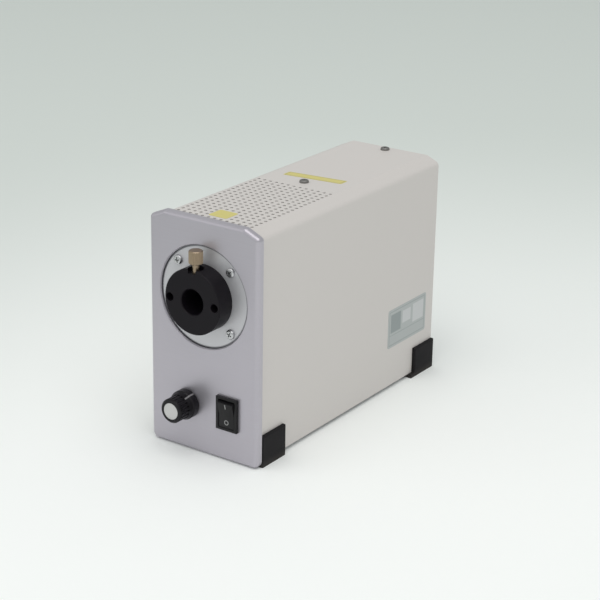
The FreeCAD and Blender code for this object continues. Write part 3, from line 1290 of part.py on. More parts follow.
core_low = size.core_lift
core_high = core_low + size.core_height
core_half = size.core_width / 2
leg = size.core_leg
core_edge = frame((-core_half, core_half), (core_low, core_high))
window_rise = (core_low + leg, core_high - leg)
windows = [frame((-core_half + leg, -leg), window_rise), frame((leg, core_half - leg), window_rise)]
bolt_spots = [(side * (core_half - leg / 2), z) for side in (-1, 1)
              for z in (core_low + leg / 2, core_high - leg / 2)]
bolt_holes = [circle(x, z, shank_hole) for x, z in bolt_spots]
keep(slab("xz", [core_edge, *windows, *bolt_holes], size.core_place, core_back, "transformer_core"))
coil_room = 2 * size.slip_gap
coil_out = core_half - leg - size.coil_gap
coil_block = block((-coil_out, coil_out), (size.core_place - size.coil_reach, core_back + size.coil_reach),
                   (core_low + leg + size.coil_gap, core_high - leg - size.coil_gap))
coil_hole = block((-leg - coil_room, leg + coil_room), (size.core_place - coil_room, core_back + coil_room),
                  (core_low, core_high))
keep(cut(coil_block, coil_hole, name="transformer_winding"))
brackets = []
core_middle = (core_low.value + core_high.value) / 2
for front_side in (True, False):
    plate = (size.core_place - size.chassis_wall, size.core_place) if front_side else \
            (core_back, core_back + size.chassis_wall)
    foot_span = (plate[0] - bracket_reach, plate[1]) if front_side else (plate[0], plate[1] + bracket_reach)
    upright = block((-core_half, core_half), plate, (floor_top, core_low + leg))
    sill = block((-core_half, core_half), foot_span, (floor_top, floor_top + size.chassis_wall))
    drills = [rod("y", shank_hole, *plate, *spot) for spot in bolt_spots if spot[1].value < core_middle]
    spots = [spot for spot in core_spots if (spot[1].value < size.core_place.value) == front_side]
    drills += [rod("z", shank_hole, floor_top, floor_top + size.chassis_wall, *spot) for spot in spots]
    brackets.append(cut(fuse(upright, sill), *drills))
keep(group(*brackets, name="transformer_brackets"))
bolts = []
for x, z in bolt_spots:
    low_bolt = z.value < core_middle
    start = size.core_place - size.chassis_wall if low_bolt else size.core_place
    end = core_back + size.chassis_wall if low_bolt else core_back
    bolts.append(fuse(rod("y", shank, start - size.bolt_head, end + size.bolt_reach, x, z),
                      rod("y", head_half, start - size.bolt_head, start, x, z),
                      rod("y", head_half, end, end + size.bolt_nut, x, z)))
keep(group(*bolts, name="transformer_bolts"))

# Small screws that hold the board, the brackets, the bulkhead and the transformer

small_screws = [screw("z", x, y, board_top, size.board_wall + 4, points=-1) for x, y in board_spots]
small_screws += [screw("z", *spot, tray_top + size.chassis_wall, 4, points=-1) for spot in holder_spots]
small_screws += [screw("z", *spot, tray_top + size.chassis_wall, 4, points=-1) for spot in bracket_spots]
small_screws += [screw("y", x, tab_front, z, 4) for x, z in tab_spots]
small_screws += [screw("z", *spot, floor_top + size.chassis_wall, 3, points=-1) for spot in bulkhead_spots]
small_screws += [screw("z", *spot, floor_top + size.chassis_wall, 3, points=-1) for spot in core_spots]
keep(group(*small_screws, name="small_screws"))

# Fan: a square frame with a strutted hub, a stator, a rotor with slanted blades, a wire guard and screws

fan_half = size.fan_side / 2
fan_front = rear_wall - size.fan_depth
fan_axis = size.fan_height
duct_half = size.fan_bore / 2
hub_half = size.fan_hub / 2
fan_edge = frame((-fan_half, fan_half), (fan_axis - fan_half, fan_axis + fan_half))
fan_tube = slab("xz", [fan_edge, circle(0, fan_axis, duct_half), *fan_holes], fan_front, rear_wall)
strut_front = rear_wall - size.fan_strut
strut_half = size.fan_strut / 2
strut_reach = duct_half + size.strut_root
hub_disc = rod("y", hub_half, strut_front, rear_wall, 0, fan_axis)
strut_spans = [(strut_reach, strut_half), (strut_half, strut_reach)]
struts = [block((-wide, wide), (strut_front, rear_wall), (fan_axis - tall, fan_axis + tall))
          for wide, tall in strut_spans]
axle = size.screw_shank / 2
bearing_half = size.bearing_width / 2
bearing_front = fan_front + size.bearing_lead
bearing = rod("y", bearing_half, bearing_front, strut_front, 0, fan_axis)
bearing_bore = rod("y", axle + size.run_gap, bearing_front, strut_front + size.bearing_past, 0,
                   fan_axis)
keep(cut(fuse(fan_tube, hub_disc, *struts, bearing), bearing_bore, name="fan_frame"))
stator_loops = [circle(0, fan_axis, radius)
                for radius in (hub_half - size.stator_room, bearing_half + size.slip_gap)]
keep(slab("xz", stator_loops, bearing_front + size.stator_set_in, strut_front, "fan_stator"))
rotor = new_body("fan_rotor", 0, fan_front + size.rotor_set_in, fan_axis)
cup_back = size.fan_depth - size.cup_set_in
cup = new_sketch(rotor, "xz", [circle(0, 0, hub_half)])
pad(rotor, cup, cup_back, backwards=True)
cup_room = new_sketch(rotor, "xz", [circle(0, 0, hub_half - size.cup_wall)], -size.cup_wall)
pocket(rotor, cup_room, cup_back)
axle_sketch = new_sketch(rotor, "xz", [circle(0, 0, axle)])
pad(rotor, axle_sketch, cup_back + size.axle_past_cup, backwards=True)
blade_half = size.fan_depth / 2 - size.blade_end_room
blade_mid = cup_back / 2
rise = blade_half * size.blade_tilt.tan()
slant = [(blade_mid - blade_half, -rise), (blade_mid + blade_half, rise - size.blade_wall),
         (blade_mid + blade_half, rise), (blade_mid - blade_half, size.blade_wall - rise)]
blade_tip = duct_half - size.blade_gap
blade_sketch = new_sketch(rotor, "yz", [slant], hub_half - size.blade_root)
one_blade = pad(rotor, blade_sketch, blade_tip - hub_half + size.blade_root)
fan_blades = rotor.newObject("PartDesign::PolarPattern", "blades")
fan_blades.Originals = [one_blade]
fan_blades.Axis = (axle_sketch, ["N_Axis"])
fan_blades.Angle = 360
fan_blades.Occurrences = int(size.blade_count.value)
bind(fan_blades, "Occurrences", size.blade_count)
rotor.Tip = fan_blades
doc.recompute()
sweep = new_sketch(rotor, "xz", [circle(0, 0, blade_tip), circle(0, 0, duct_half + 8)])
pocket(rotor, sweep)
keep(rotor)
wire = size.guard_wire / 2
eyelet_y = size.case_depth + wire
guard_y = eyelet_y + size.guard_wire * 0.75
guard = []
for ring in range(int(size.guard_rings.value)):
    radius = duct_half - ring * duct_half / size.guard_rings
    guard.append(hoop("y", radius, Size("Sizes.guard_wire / 2", wire.value), 0, guard_y, fan_axis))
for angle in (45, 135):
    spoke = doc.addObject("Part::Cylinder", "spoke")
    spoke.Radius = wire.value
    bind(spoke, "Radius", wire)
    reach = size.fan_pitch * math.sqrt(2) - 4.6
    spoke.Height = value(reach)
    bind(spoke, "Height", reach)
    drop = reach / 2 * round(math.sin(math.radians(angle)), 6)
    across = reach / 2 * round(math.cos(math.radians(angle)), 6)
    guard.append(place(spoke, -across, eyelet_y, fan_axis - drop, Rotation(Vector(0, 1, 0), 90 - angle)))
for x, z in fan_spots:
    guard.append(hoop("y", shank + 0.2 + wire, wire, x, eyelet_y, z))
keep(fuse(*guard, name="fan_guard"))
fan_seat = size.case_depth + size.guard_wire
keep(group(*[screw("y", x, fan_seat, z, size.guard_wire + size.chassis_wall + 8, points=-1,
                   head_length=size.guard_reach - size.guard_wire) for x, z in fan_spots], name="fan_screws"))

# Mains inlet: a flanged housing with a plug socket, three pins and a drawer that holds the fuse

inlet_z = size.inlet_height
inlet_back = size.case_depth + size.inlet_wall
inlet_front = size.case_depth - size.inlet_body_length
flange_x = size.inlet_width / 2
flange_z = size.inlet_tall / 2
inlet_flange = block((-flange_x, flange_x), (size.case_depth, inlet_back),
                     (inlet_z - flange_z, inlet_z + flange_z))
inlet_body = block((-inlet_half, inlet_half), (inlet_front, size.case_depth),
                   (inlet_z - inlet_rise, inlet_z + inlet_rise))
socket_low = inlet_z - inlet_rise + size.socket_low
socket_high = socket_low + size.socket_tall
socket_half = size.socket_width / 2
socket_floor = inlet_back - size.socket_depth
corner_cut = size.socket_bevel
socket_room = slab("xz", [[(-socket_half, socket_low), (socket_half, socket_low),
                           (socket_half, socket_high - corner_cut), (socket_half - corner_cut, socket_high),
                           (corner_cut - socket_half, socket_high), (-socket_half, socket_high - corner_cut)]],
                   socket_floor, inlet_back)
drawer_low = socket_high + size.drawer_rise
drawer_high = drawer_low + size.drawer_tall
drawer_half = size.drawer_width / 2
slip = size.slip_gap
drawer_floor = inlet_back - size.drawer_length - size.drawer_end_room
drawer_room = block((-drawer_half - slip, drawer_half + slip), (drawer_floor, inlet_back),
                    (drawer_low - slip, drawer_high + slip))
pin_mid = (socket_low + socket_high) / 2
pin_low = pin_mid - size.pin_offset
pin_spots = [(-size.pin_across, pin_low), (0 * size.pin_across, pin_mid + size.pin_offset),
             (size.pin_across, pin_low)]
pin_y = (inlet_front - size.pin_tail, inlet_back - size.pin_set_back)
pin_side = size.pin_wall / 2
pin_rise = size.pin_tall / 2
pins = [((x - pin_side, x + pin_side), pin_y, (z - pin_rise, z + pin_rise)) for x, z in pin_spots]
sink_front = inlet_back - size.screw_sink
flat_head = [cone("y", shank_hole, head_half + size.run_gap, sink_front, inlet_back,
                  side * inlet_screw_x, inlet_z)
             for side in (-1, 1)]
flange_drills = [rod("y", clear_hole, size.case_depth, inlet_back, side * inlet_screw_x, inlet_z)
                 for side in (-1, 1)]
pin_slots = [block(*spans) for spans in pins]
keep(cut(fuse(inlet_flange, inlet_body), socket_room, drawer_room, *pin_slots, *flat_head, *flange_drills,
         name="inlet_housing"))
keep(group(*[block(*spans) for spans in pins], name="inlet_pins"))
flat_screws = []
for side in (-1, 1):
    flat = fuse(cone("y", shank, head_half, sink_front, inlet_back, side * inlet_screw_x, inlet_z),
                rod("y", shank, rear_wall - size.inlet_screw_end, sink_front, side * inlet_screw_x, inlet_z),
                rod("y", head_half, rear_wall - size.inlet_nut, rear_wall, side * inlet_screw_x, inlet_z))
    x = side * inlet_screw_x
    cross = [block((x - wide, x + wide), (inlet_back - size.drive_depth, inlet_back),
                   (inlet_z - tall, inlet_z + tall))
             for wide, tall in ((size.drive_half, size.drive_slot), (size.drive_slot, size.drive_half))]
    flat_screws.append(cut(flat, fuse(*cross)))
keep(group(*flat_screws, name="inlet_screws"))
drawer_front = inlet_back - size.drawer_length
fuse_half = size.fuse_width / 2
fuse_y = drawer_front + fuse_half + size.fuse_set_back
fuse_z = (drawer_low + drawer_high) / 2
fuse_end = size.fuse_length / 2
brim_half = drawer_half + size.drawer_brim
brim_high = drawer_high + size.drawer_brim
lip_back = inlet_back + size.drawer_lip
drawer = fuse(block((-drawer_half, drawer_half), (drawer_front, inlet_back), (drawer_low, drawer_high)),
              block((-brim_half, brim_half), (inlet_back, lip_back),
                    (drawer_low - size.drawer_brim, brim_high)))
tub = block((-fuse_end - slip, fuse_end + slip),
            (drawer_front + size.drawer_back_wall, inlet_back - size.drawer_front_wall),
            (fuse_z - fuse_half, drawer_high))
thumb_slot = block((-size.pull_width / 2, size.pull_width / 2), (lip_back - size.pull_depth, lip_back),
                   (drawer_high - size.pull_tall, brim_high))
keep(cut(drawer, tub, thumb_slot, name="fuse_drawer"))
cap_length = size.fuse_cap
glass_tube = rod("x", fuse_half - 0.2, -fuse_end + cap_length, fuse_end - cap_length, fuse_y, fuse_z)
end_caps = [rod("x", fuse_half, -fuse_end, -fuse_end + cap_length, fuse_y, fuse_z),
            rod("x", fuse_half, fuse_end - cap_length, fuse_end, fuse_y, fuse_z)]
keep(fuse(glass_tube, *end_caps, name="glass_fuse"))

# Cover screws and the blank stickers

keep(group(*[screw("z", 0, y, cover_top, size.cover_wall + size.chassis_wall + 4, points=-1)
             for y in (size.cover_screw_front, size.cover_screw_rear)], name="cover_screws"))
skew = size.strip_length / 2 * size.strip_turn.tan()
strip_half = size.strip_width / 2
strip_x = size.strip_length / 2
strip_y = size.strip_place
strip_loop = [(-strip_x, strip_y - strip_half - skew), (strip_x, strip_y - strip_half + skew),
              (strip_x, strip_y + strip_half + skew), (-strip_x, strip_y + strip_half - skew)]
sticker_top = cover_top + size.sticker_wall
strip = slab("xy", [strip_loop], cover_top, sticker_top)
patch = block((-size.patch_left - size.patch_length / 2, size.patch_length / 2 - size.patch_left),
              (size.patch_place - size.patch_width / 2, size.patch_place + size.patch_width / 2),
              (cover_top, sticker_top))
keep(group(strip, patch, name="blank_markers"))
label_back = size.label_front + size.label_length
keep(block((cover_half, cover_half + size.sticker_wall), (size.label_front, label_back),
           (size.label_low, size.label_low + size.label_tall)))
parts[-1].Label = "side_label"

# Write each sub-part

doc.recompute()
for thing in doc.Objects:
    if {"Invalid", "Error"} & set(thing.State):
        raise RuntimeError(f"{thing.Label} is not sound: {thing.State}")
os.makedirs("parts", exist_ok=True)
for thing in parts:
    if thing.Shape.isNull() or not thing.Shape.isValid():
        raise RuntimeError(f"{thing.Label} has no sound shape")
    thing.Shape.exportStep(f"parts/{thing.Label}.step")
    print(thing.Label, len(thing.Shape.Solids), round(thing.Shape.Volume, 1))
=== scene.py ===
import math

import bpy
from mathutils import Matrix, Vector


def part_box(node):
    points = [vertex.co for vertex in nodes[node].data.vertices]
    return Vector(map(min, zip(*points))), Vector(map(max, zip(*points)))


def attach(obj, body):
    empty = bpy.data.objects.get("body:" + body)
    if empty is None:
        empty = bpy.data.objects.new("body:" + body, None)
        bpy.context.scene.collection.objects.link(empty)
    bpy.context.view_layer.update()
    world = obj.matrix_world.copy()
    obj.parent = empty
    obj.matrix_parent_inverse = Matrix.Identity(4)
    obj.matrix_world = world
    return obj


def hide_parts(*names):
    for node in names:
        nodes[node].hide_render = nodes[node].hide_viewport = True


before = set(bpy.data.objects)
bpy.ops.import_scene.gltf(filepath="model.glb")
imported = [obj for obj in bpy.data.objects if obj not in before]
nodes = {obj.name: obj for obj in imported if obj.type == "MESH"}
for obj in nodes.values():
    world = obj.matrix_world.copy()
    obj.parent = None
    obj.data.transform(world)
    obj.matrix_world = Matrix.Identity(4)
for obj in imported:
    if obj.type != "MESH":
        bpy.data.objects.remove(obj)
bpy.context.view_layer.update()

# Front panel: a tray pressed from aluminium sheet, brushed from side to side and anodised silver. It hangs on
# the chassis's front wall and its folded lip covers the painted cover's front edge.

MM = 0.001
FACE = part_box("front_panel")[0].y / MM


def tint(red, green, blue):
    """A colour read off a chart of 0 to 255, as the shader wants it."""
    shades = [shade / 255 for shade in (red, green, blue)]
    return (*[shade / 12.92 if shade < 0.04045 else ((shade + 0.055) / 1.055) ** 2.4 for shade in shades], 1)


class Value:
    """A number or colour that changes over a surface. A sum on it adds its nodes."""

    def __init__(self, finish, socket):
        self.finish = finish
        self.socket = socket

    def sum(self, operation, *terms):
        return self.finish.node("ShaderNodeMath", {"operation": operation}, dict(enumerate(terms)))

    def __add__(self, other):
        return self.sum("ADD", self, other)

    __radd__ = __add__

    def __sub__(self, other):
        return self.sum("SUBTRACT", self, other)

    def __rsub__(self, other):
        return self.sum("SUBTRACT", other, self)

    def __mul__(self, other):
        return self.sum("MULTIPLY", self, other)

    __rmul__ = __mul__

    def __pow__(self, other):
        return self.sum("POWER", self, other)

    def __abs__(self):
        return self.sum("ABSOLUTE", self)

    def wave(self, pitch):
        """Ridges that repeat every pitch, from 0 to 1."""
        return self.sum("SINE", self * (2 * math.pi / pitch)) * 0.5 + 0.5

    def rise(self, low, high):
        """0 up to low, 1 from high on, and smooth between."""
        return self.finish.node("ShaderNodeMapRange", {"interpolation_type": "SMOOTHSTEP"},
                                {"Value": self, "From Min": low, "From Max": high})

    def between(self, low, high, blur):
        """1 between low and high, 0 outside, with edges that blur over a width."""
        return self.rise(low - blur, low + blur) * (1 - self.rise(high - blur, high + blur))

    def within(self, half, blur):
        """1 up to half on both sides of 0, and 0 beyond."""
        return 1 - abs(self).rise(half - blur, half + blur)


class Finish:
    """One paint, plating or moulded surface, with the nodes that give it its grain and wear."""

    def __init__(self, name, colour, roughness, metallic=0.0, sockets=None):
        self.material = bpy.data.materials.new(name)
        self.material.use_nodes = True
        self.tree = self.material.node_tree
        self.shader = self.tree.nodes["Principled BSDF"]
        self.colour = colour
        self.roughness = roughness
        self.place = self.node("ShaderNodeTexCoord", output="Object")
        self.put({"Base Color": colour, "Roughness": roughness, "Metallic": metallic, **(sockets or {})})

    def node(self, kind, settings=None, inputs=None, output=0):
        """Adds a node, makes its settings, and gives its sockets their values or links."""
        made = self.tree.nodes.new(kind)
        for name, setting in (settings or {}).items():
            setattr(made, name, setting)
        for name, given in (inputs or {}).items():
            self.join(given, made.inputs[name])
        return Value(self, made.outputs[output])

    def join(self, given, socket):
        if isinstance(given, Value):
            self.tree.links.new(given.socket, socket)
        else:
            socket.default_value = given

    def put(self, sockets):
        for name, given in sockets.items():
            self.join(given, self.shader.inputs[name])

    def noise(self, grain, stretch=(1, 1, 1), detail=3.0):
        """Cloudy grain, in millimetres across, drawn out along each axis by stretch."""
        spread = [1 / (MM * grain * pull) for pull in stretch]
        spun = self.node("ShaderNodeMapping", None, {"Vector": self.place, "Scale": spread})
        return self.node("ShaderNodeTexNoise", None, {"Vector": spun, "Scale": 1.0, "Detail": detail})

    def cells(self, grain, feature="F1", output="Distance"):
        """Crystals or pebbles, in millimetres across."""
        return self.node("ShaderNodeTexVoronoi", {"feature": feature},
                         {"Vector": self.place, "Scale": 1 / (MM * grain)}, output)

    def along(self, letter):
        """Millimetres along X or Z, or back from the front face along Y."""
        count = self.node("ShaderNodeSeparateXYZ", None, {"Vector": self.place}, letter) * (1 / MM)
        return count - FACE if letter == "Y" else count

    def radius(self, first, first_middle, second, second_middle):
        """Millimetres from an axis that runs along the letter not given."""
        across = self.along(first) - first_middle
        up = self.along(second) - second_middle
        return (across * across + up * up) ** 0.5

    def mix(self, factor, first, second):
        return self.node("ShaderNodeMix", {"data_type": "RGBA"}, {0: factor, 6: first, 7: second}, 2)

    def shade(self, factor, depth):
        """The finish's own colour, darker where factor is low and lighter where it is high."""
        dark = [part * (1 - depth) for part in self.colour[:3]]
        light = [min(1, part * (1 + depth)) for part in self.colour[:3]]
        return self.mix(factor, (*dark, 1), (*light, 1))

    def bump(self, height, depth):
        """Relief, depth in millimetres from its lowest to its highest place."""
        sockets = {"Height": height, "Distance": depth * MM, "Strength": 1.0}
        self.put({"Normal": self.node("ShaderNodeBump", None, sockets, "Normal")})

    def grain(self, fine, tone, rub, depth, patch=18):
        """Fine grain that tints, dulls and lifts the surface, over slow patches of handling."""
        patches = self.noise(patch, detail=2)
        colour = self.shade(fine * 0.6 + patches * 0.4, tone)
        wear = (fine - 0.5) * rub + (patches - 0.5) * rub
        self.put({"Base Color": colour, "Roughness": self.roughness + wear})
        self.bump(fine, depth)
        return colour

    def cover(self, *names):
        """Puts this finish on nodes of the frame."""
        for name in names:
            nodes[name].data.materials.clear()
            nodes[name].data.materials.append(self.material)


silver = Finish("brushed_silver", tint(185, 181, 189), roughness=0.38, metallic=0.7)
hairline = silver.noise(0.22, stretch=(90, 90, 1), detail=2)
silver.grain(hairline, tone=0.08, rub=0.12, depth=0.004, patch=30)
silver.cover("front_panel")

# Cover: steel sheet folded into a hood with bevelled top edges, punched with vent holes over the lamp, and
# powder-coated warm grey. The coat has a fine orange peel and dulls a little where it is handled.

paint = Finish("warm_grey_powder_coat", tint(208, 203, 200), roughness=0.46,
               sockets={"Specular IOR Level": 0.4})
peel = paint.noise(0.7, detail=1)
flow = paint.noise(2.6, detail=1)
paint.grain(peel * 0.7 + flow * 0.3, tone=0.025, rub=0.1, depth=0.035, patch=45)
paint.cover("cover")

# Chassis: one zinc-plated steel sheet, bent into a front wall, a floor and a rear wall. The zinc shows its
# soft crystals, and the rear wall carries the fan and the mains inlet.

zinc = Finish("zinc_plate", tint(176, 178, 180), roughness=0.42, metallic=0.9)
spangle = zinc.cells(5.5, output="Color")
rolled = zinc.noise(0.4, stretch=(1, 14, 1))
zinc.grain(spangle * 0.5 + rolled * 0.5, tone=0.12, rub=0.16, depth=0.004)
zinc.cover("base_chassis")

# Corner feet: moulded rubber blocks that hook under the chassis and up the cover's side, each held by a
# barbed peg through the floor. The rubber is nearly black, matt and finely pebbled.

rubber = Finish("foot_rubber", tint(24, 22, 25), roughness=0.72, sockets={"Specular IOR Level": 0.22})
pebbles = rubber.cells(0.8)
# The rubber is lighter in its lowest 5 mm, towards the floor.
LIGHTER_TOP = 5
lighter_low = rubber.along("Z").rise(0, LIGHTER_TOP)
rubber.grain(pebbles * 0.6 + rubber.noise(0.5) * 0.4, tone=0.16, rub=0.1, depth=0.05)
bloom = rubber.shade(rubber.noise(6) * 0.6 + pebbles * 0.2, 0.2)
rubber.put({"Base Color": rubber.mix(lighter_low, tint(50, 47, 45), bloom)})


def start(name, add, **sizes):
    """Adds a primitive with nothing else selected and goes into edit mode on it."""
    bpy.ops.object.select_all(action="DESELECT")
    add(**sizes)
    piece = bpy.context.object
    piece.name = piece.data.name = name
    bpy.ops.object.mode_set(mode="EDIT")
    bpy.ops.mesh.select_mode(type="FACE")
    return piece


def pick(piece, wanted, kind="FACE"):
    """Selects the faces or edges that wanted says yes to, given their middle and their normal or ends."""
    bpy.ops.mesh.select_mode(type=kind)
    bpy.ops.mesh.select_all(action="DESELECT")
    bpy.ops.object.mode_set(mode="OBJECT")
    mesh = piece.data
    if kind == "FACE":
        for face in mesh.polygons:
            face.select = wanted(face.center, face.normal)
    else:
        for edge in mesh.edges:
            low, high = [mesh.vertices[end].co for end in edge.vertices]
            edge.select = wanted(low, high)
    bpy.ops.object.mode_set(mode="EDIT")


def modify(piece, kind, **settings):
    """Adds a modifier and applies it."""
    bpy.ops.object.select_all(action="DESELECT")
    bpy.context.view_layer.objects.active = piece
    piece.select_set(True)
    change = piece.modifiers.new(kind.lower(), kind)
    for name, setting in settings.items():
        setattr(change, name, setting)
    bpy.ops.object.modifier_apply(modifier=change.name)


SMOOTH_TO, SHARP_FROM, FLAT_TO = [math.radians(angle) for angle in (35, 32, 0.5)]
WELD = 0.002


def finished(piece, body, finish):
    """Smooths a piece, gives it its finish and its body."""
    if piece.mode == "EDIT":
        bpy.ops.object.mode_set(mode="OBJECT")
    bpy.ops.object.select_all(action="DESELECT")
    bpy.context.view_layer.objects.active = piece
    piece.select_set(True)
    bpy.ops.object.transform_apply(location=True, rotation=True, scale=True)
    bpy.ops.object.shade_smooth_by_angle(angle=SMOOTH_TO)
    piece.data.materials.clear()
    piece.data.materials.append(finish.material)
    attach(piece, body)


def softened(node, name, width, body, finish):
    """A copy of one of the frame's pieces with its hard edges rounded off, put in for it."""
    piece = bpy.data.objects.new(name, nodes[node].data.copy())
    bpy.context.scene.collection.objects.link(piece)
    bpy.ops.object.select_all(action="DESELECT")
    bpy.context.view_layer.objects.active = piece
    piece.select_set(True)
    bpy.ops.mesh.customdata_custom_splitnormals_clear()
    bpy.ops.object.mode_set(mode="EDIT")
    bpy.ops.mesh.select_all(action="SELECT")
    bpy.ops.mesh.remove_doubles(threshold=WELD * MM)
    bpy.ops.mesh.dissolve_limited(angle_limit=FLAT_TO)
    bpy.ops.mesh.select_all(action="SELECT")
    bpy.ops.mesh.normals_make_consistent(inside=False)
    bpy.ops.object.mode_set(mode="OBJECT")
    modify(piece, "BEVEL", width=width * MM, segments=3, limit_method="ANGLE", angle_limit=SHARP_FROM,
           use_clamp_overlap=True)
    finished(piece, body, finish)
    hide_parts(node)


FOOT_EDGE = 1.1
for corner in ("front_left", "front_right", "rear_left", "rear_right"):
    softened(f"foot_{corner}", f"rubber_{corner}", FOOT_EDGE, "base", rubber)

# Flange plate: a square of brass, plated with satin nickel, with a round boss that fills the panel's port. A
# band round the boss's rim is painted dark, as painted shadow of the gap round the port. Four pan head screws
# with a cross recess hold it, and with it the lamp tray, to the chassis's front wall.


def span(node):
    """A node's lowest and highest corners, in millimetres in the case, with y back from the front face."""
    return [corner / MM - Vector((0, FACE, 0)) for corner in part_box(node)]


def centre(node):
    """The middle of a node's box, in the same measure."""
    low, high = span(node)
    return (low + high) / 2


def at(x, y, z):
    """A place in the case, in the same measure, as a place in the row."""
    return Vector((x, y + FACE, z)) * MM


AXIS = centre("flange_plate").z
RIM_IN, RIM_OUT, RIM_BLUR, RIM_SHADOW_TONE = 28.8, 32, 0.15, 0.75
nickel = Finish("satin_nickel", tint(204, 203, 207), roughness=0.44, metallic=0.55)
polish = nickel.noise(0.3, stretch=(1, 1, 24), detail=2)
nickel_colour = nickel.grain(polish, tone=0.03, rub=0.12, depth=0.003, patch=12)
# Painted shadow: a dark band round the boss's rim, for the gap between the boss and the panel.
rim_shadow = nickel.radius("X", 0, "Z", AXIS).between(RIM_IN, RIM_OUT, RIM_BLUR)
nickel.put({"Base Color": nickel.mix(rim_shadow * RIM_SHADOW_TONE, nickel_colour, tint(104, 104, 110))})
nickel.cover("flange_plate")

steel = Finish("screw_steel", tint(196, 196, 198), roughness=0.3, metallic=1.0)
steel.grain(steel.noise(0.25), tone=0.1, rub=0.16, depth=0.01, patch=4)

DOME, CHAMFER = 0.72, 0.3
ARM, ARM_WIDTH, ARM_DEPTH, ARM_TAPER = 1.12, 0.24, 0.7, 0.72


def faces_down(spot, normal):
    return normal.z < -0.9


def pan_head(name, head, rise, shank, length):
    """A pan head screw that stands on the origin, head up, with a cross recess, from sizes in millimetres."""
    head, rise, shank, length = [size * MM for size in (head, rise, shank, length)]
    near_top, near_tip = rise * 0.49, -rise / 2 - length * 0.99
    screw = start(name, bpy.ops.mesh.primitive_cylinder_add, vertices=40, radius=head, depth=rise,
                  location=(0, 0, rise / 2))
    pick(screw, faces_down)
    bpy.ops.mesh.inset(thickness=head - shank)
    bpy.ops.mesh.extrude_region_move(TRANSFORM_OT_translate={"value": (0, 0, -length)})
    pick(screw, lambda low, high: min(low.z, high.z) > near_top, "EDGE")
    bpy.ops.mesh.bevel(offset=rise * DOME, segments=6, profile=0.55, affect="EDGES")
    pick(screw, lambda low, high: max(low.z, high.z) < near_tip, "EDGE")
    bpy.ops.mesh.bevel(offset=shank * CHAMFER, segments=1, affect="EDGES")
    bpy.ops.object.mode_set(mode="OBJECT")
    bpy.ops.object.transform_apply(location=True)
    cross = start("cross", bpy.ops.mesh.primitive_cube_add, size=1, location=(0, 0, rise * DOME))
    bpy.ops.transform.resize(value=(head * ARM, head * ARM_WIDTH, rise * ARM_DEPTH))
    bpy.ops.mesh.duplicate()
    bpy.ops.transform.rotate(value=math.pi / 2, orient_axis="Z", center_override=(0, 0, 0))
    pick(cross, faces_down)
    bpy.ops.transform.resize(value=(ARM_TAPER, ARM_TAPER, 1), center_override=(0, 0, 0))
    bpy.ops.object.mode_set(mode="OBJECT")
    modify(screw, "BOOLEAN", operation="DIFFERENCE", object=cross, solver="EXACT", use_self=True)
    bpy.data.objects.remove(cross)
    return screw


def driven(screw, places, turn, body, finish, node):
    """Copies a screw to each place, turns it to face out, and puts it in for the frame's own."""
    for number, (place, twist) in enumerate(places, 1):
        copy = bpy.data.objects.new(f"{screw.name}_{number}", screw.data.copy())
        bpy.context.scene.collection.objects.link(copy)
        facing = Matrix.Rotation(math.radians(turn), 4, "X") @ Matrix.Rotation(math.radians(twist), 4, "Z")
        copy.data.transform(Matrix.Translation(place) @ facing)
        finished(copy, body, finish)
        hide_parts(node)
    bpy.data.objects.remove(screw)


HEAD, HEAD_RISE, SHANK = 2.8, 1.6, 1.5
OUT_FRONT, OUT_REAR, OUT_TOP = 90, -90, 0
screws_front, screws_end = span("flange_screws")
seat = screws_front.y + HEAD_RISE
spread = screws_end.x - HEAD
flange_screw = pan_head("flange_screw", HEAD, HEAD_RISE, SHANK, screws_end.y - seat)
corners = [(x, z) for z in (-spread, spread) for x in (-spread, spread)]
flange_spots = [(at(x, seat, AXIS + z), twist) for (x, z), twist in zip(corners, (20, 65, 8, 40))]
driven(flange_screw, flange_spots, OUT_FRONT, "base", steel, "flange_screws")

# Light guide adapter: a black anodised aluminium barrel, turned and bored, with two key holes in its face and
# a milled notch for the clamp screw. A slotted ring behind the flange plate locks it.

anodised = Finish("black_anodised", tint(21, 18, 23), roughness=0.42, sockets={"Specular IOR Level": 0.14})
rings = anodised.radius("X", 0, "Z", AXIS).wave(pitch=0.42)
anodised.grain(rings * 0.5 + anodised.noise(0.3) * 0.5, tone=0.18, rub=0.1, depth=0.006, patch=9)
anodised.cover("light_guide_adapter", "adapter_lock_ring")

# Clamp screw: a turned brass thumb screw with a knurled head, and a soft pad on a stem in its end. It screws
# down through the adapter and presses the pad on the light guide.

brass = Finish("clamp_brass", tint(160, 143, 122), roughness=0.38, metallic=1.0)
tarnish = brass.noise(1.6)
knurls = brass.noise(0.2, stretch=(1, 1, 6))
brass.grain(knurls * 0.6 + tarnish * 0.4, tone=0.2, rub=0.18, depth=0.008, patch=3)
brass.cover("thumb_screw")
nylon = Finish("clamp_pad_nylon", tint(224, 218, 200), roughness=0.5, sockets={"Subsurface Weight": 0.1})
nylon.grain(nylon.noise(0.3), tone=0.05, rub=0.08, depth=0.006, patch=4)
nylon.cover("thumb_screw_tip")

# Brightness control: a potentiometer with a zinc-plated case behind the panel. Its bush comes through the
# panel under a washer and a nut, and three tinned lugs take the wires.

can = Finish("control_case", tint(170, 168, 160), roughness=0.4, metallic=0.9)
can.grain(can.noise(0.4, stretch=(1, 8, 1)), tone=0.1, rub=0.14, depth=0.008, patch=6)
can.cover("control_body")
tin = Finish("tinned_metal", tint(200, 198, 190), roughness=0.32, metallic=1.0)
tin.grain(tin.noise(0.5), tone=0.12, rub=0.2, depth=0.01, patch=4)
tin.cover("control_lugs", "switch_terminals", "inlet_pins")
steel.cover("control_washer", "control_nut", "knob_set_screw", "control_shaft")
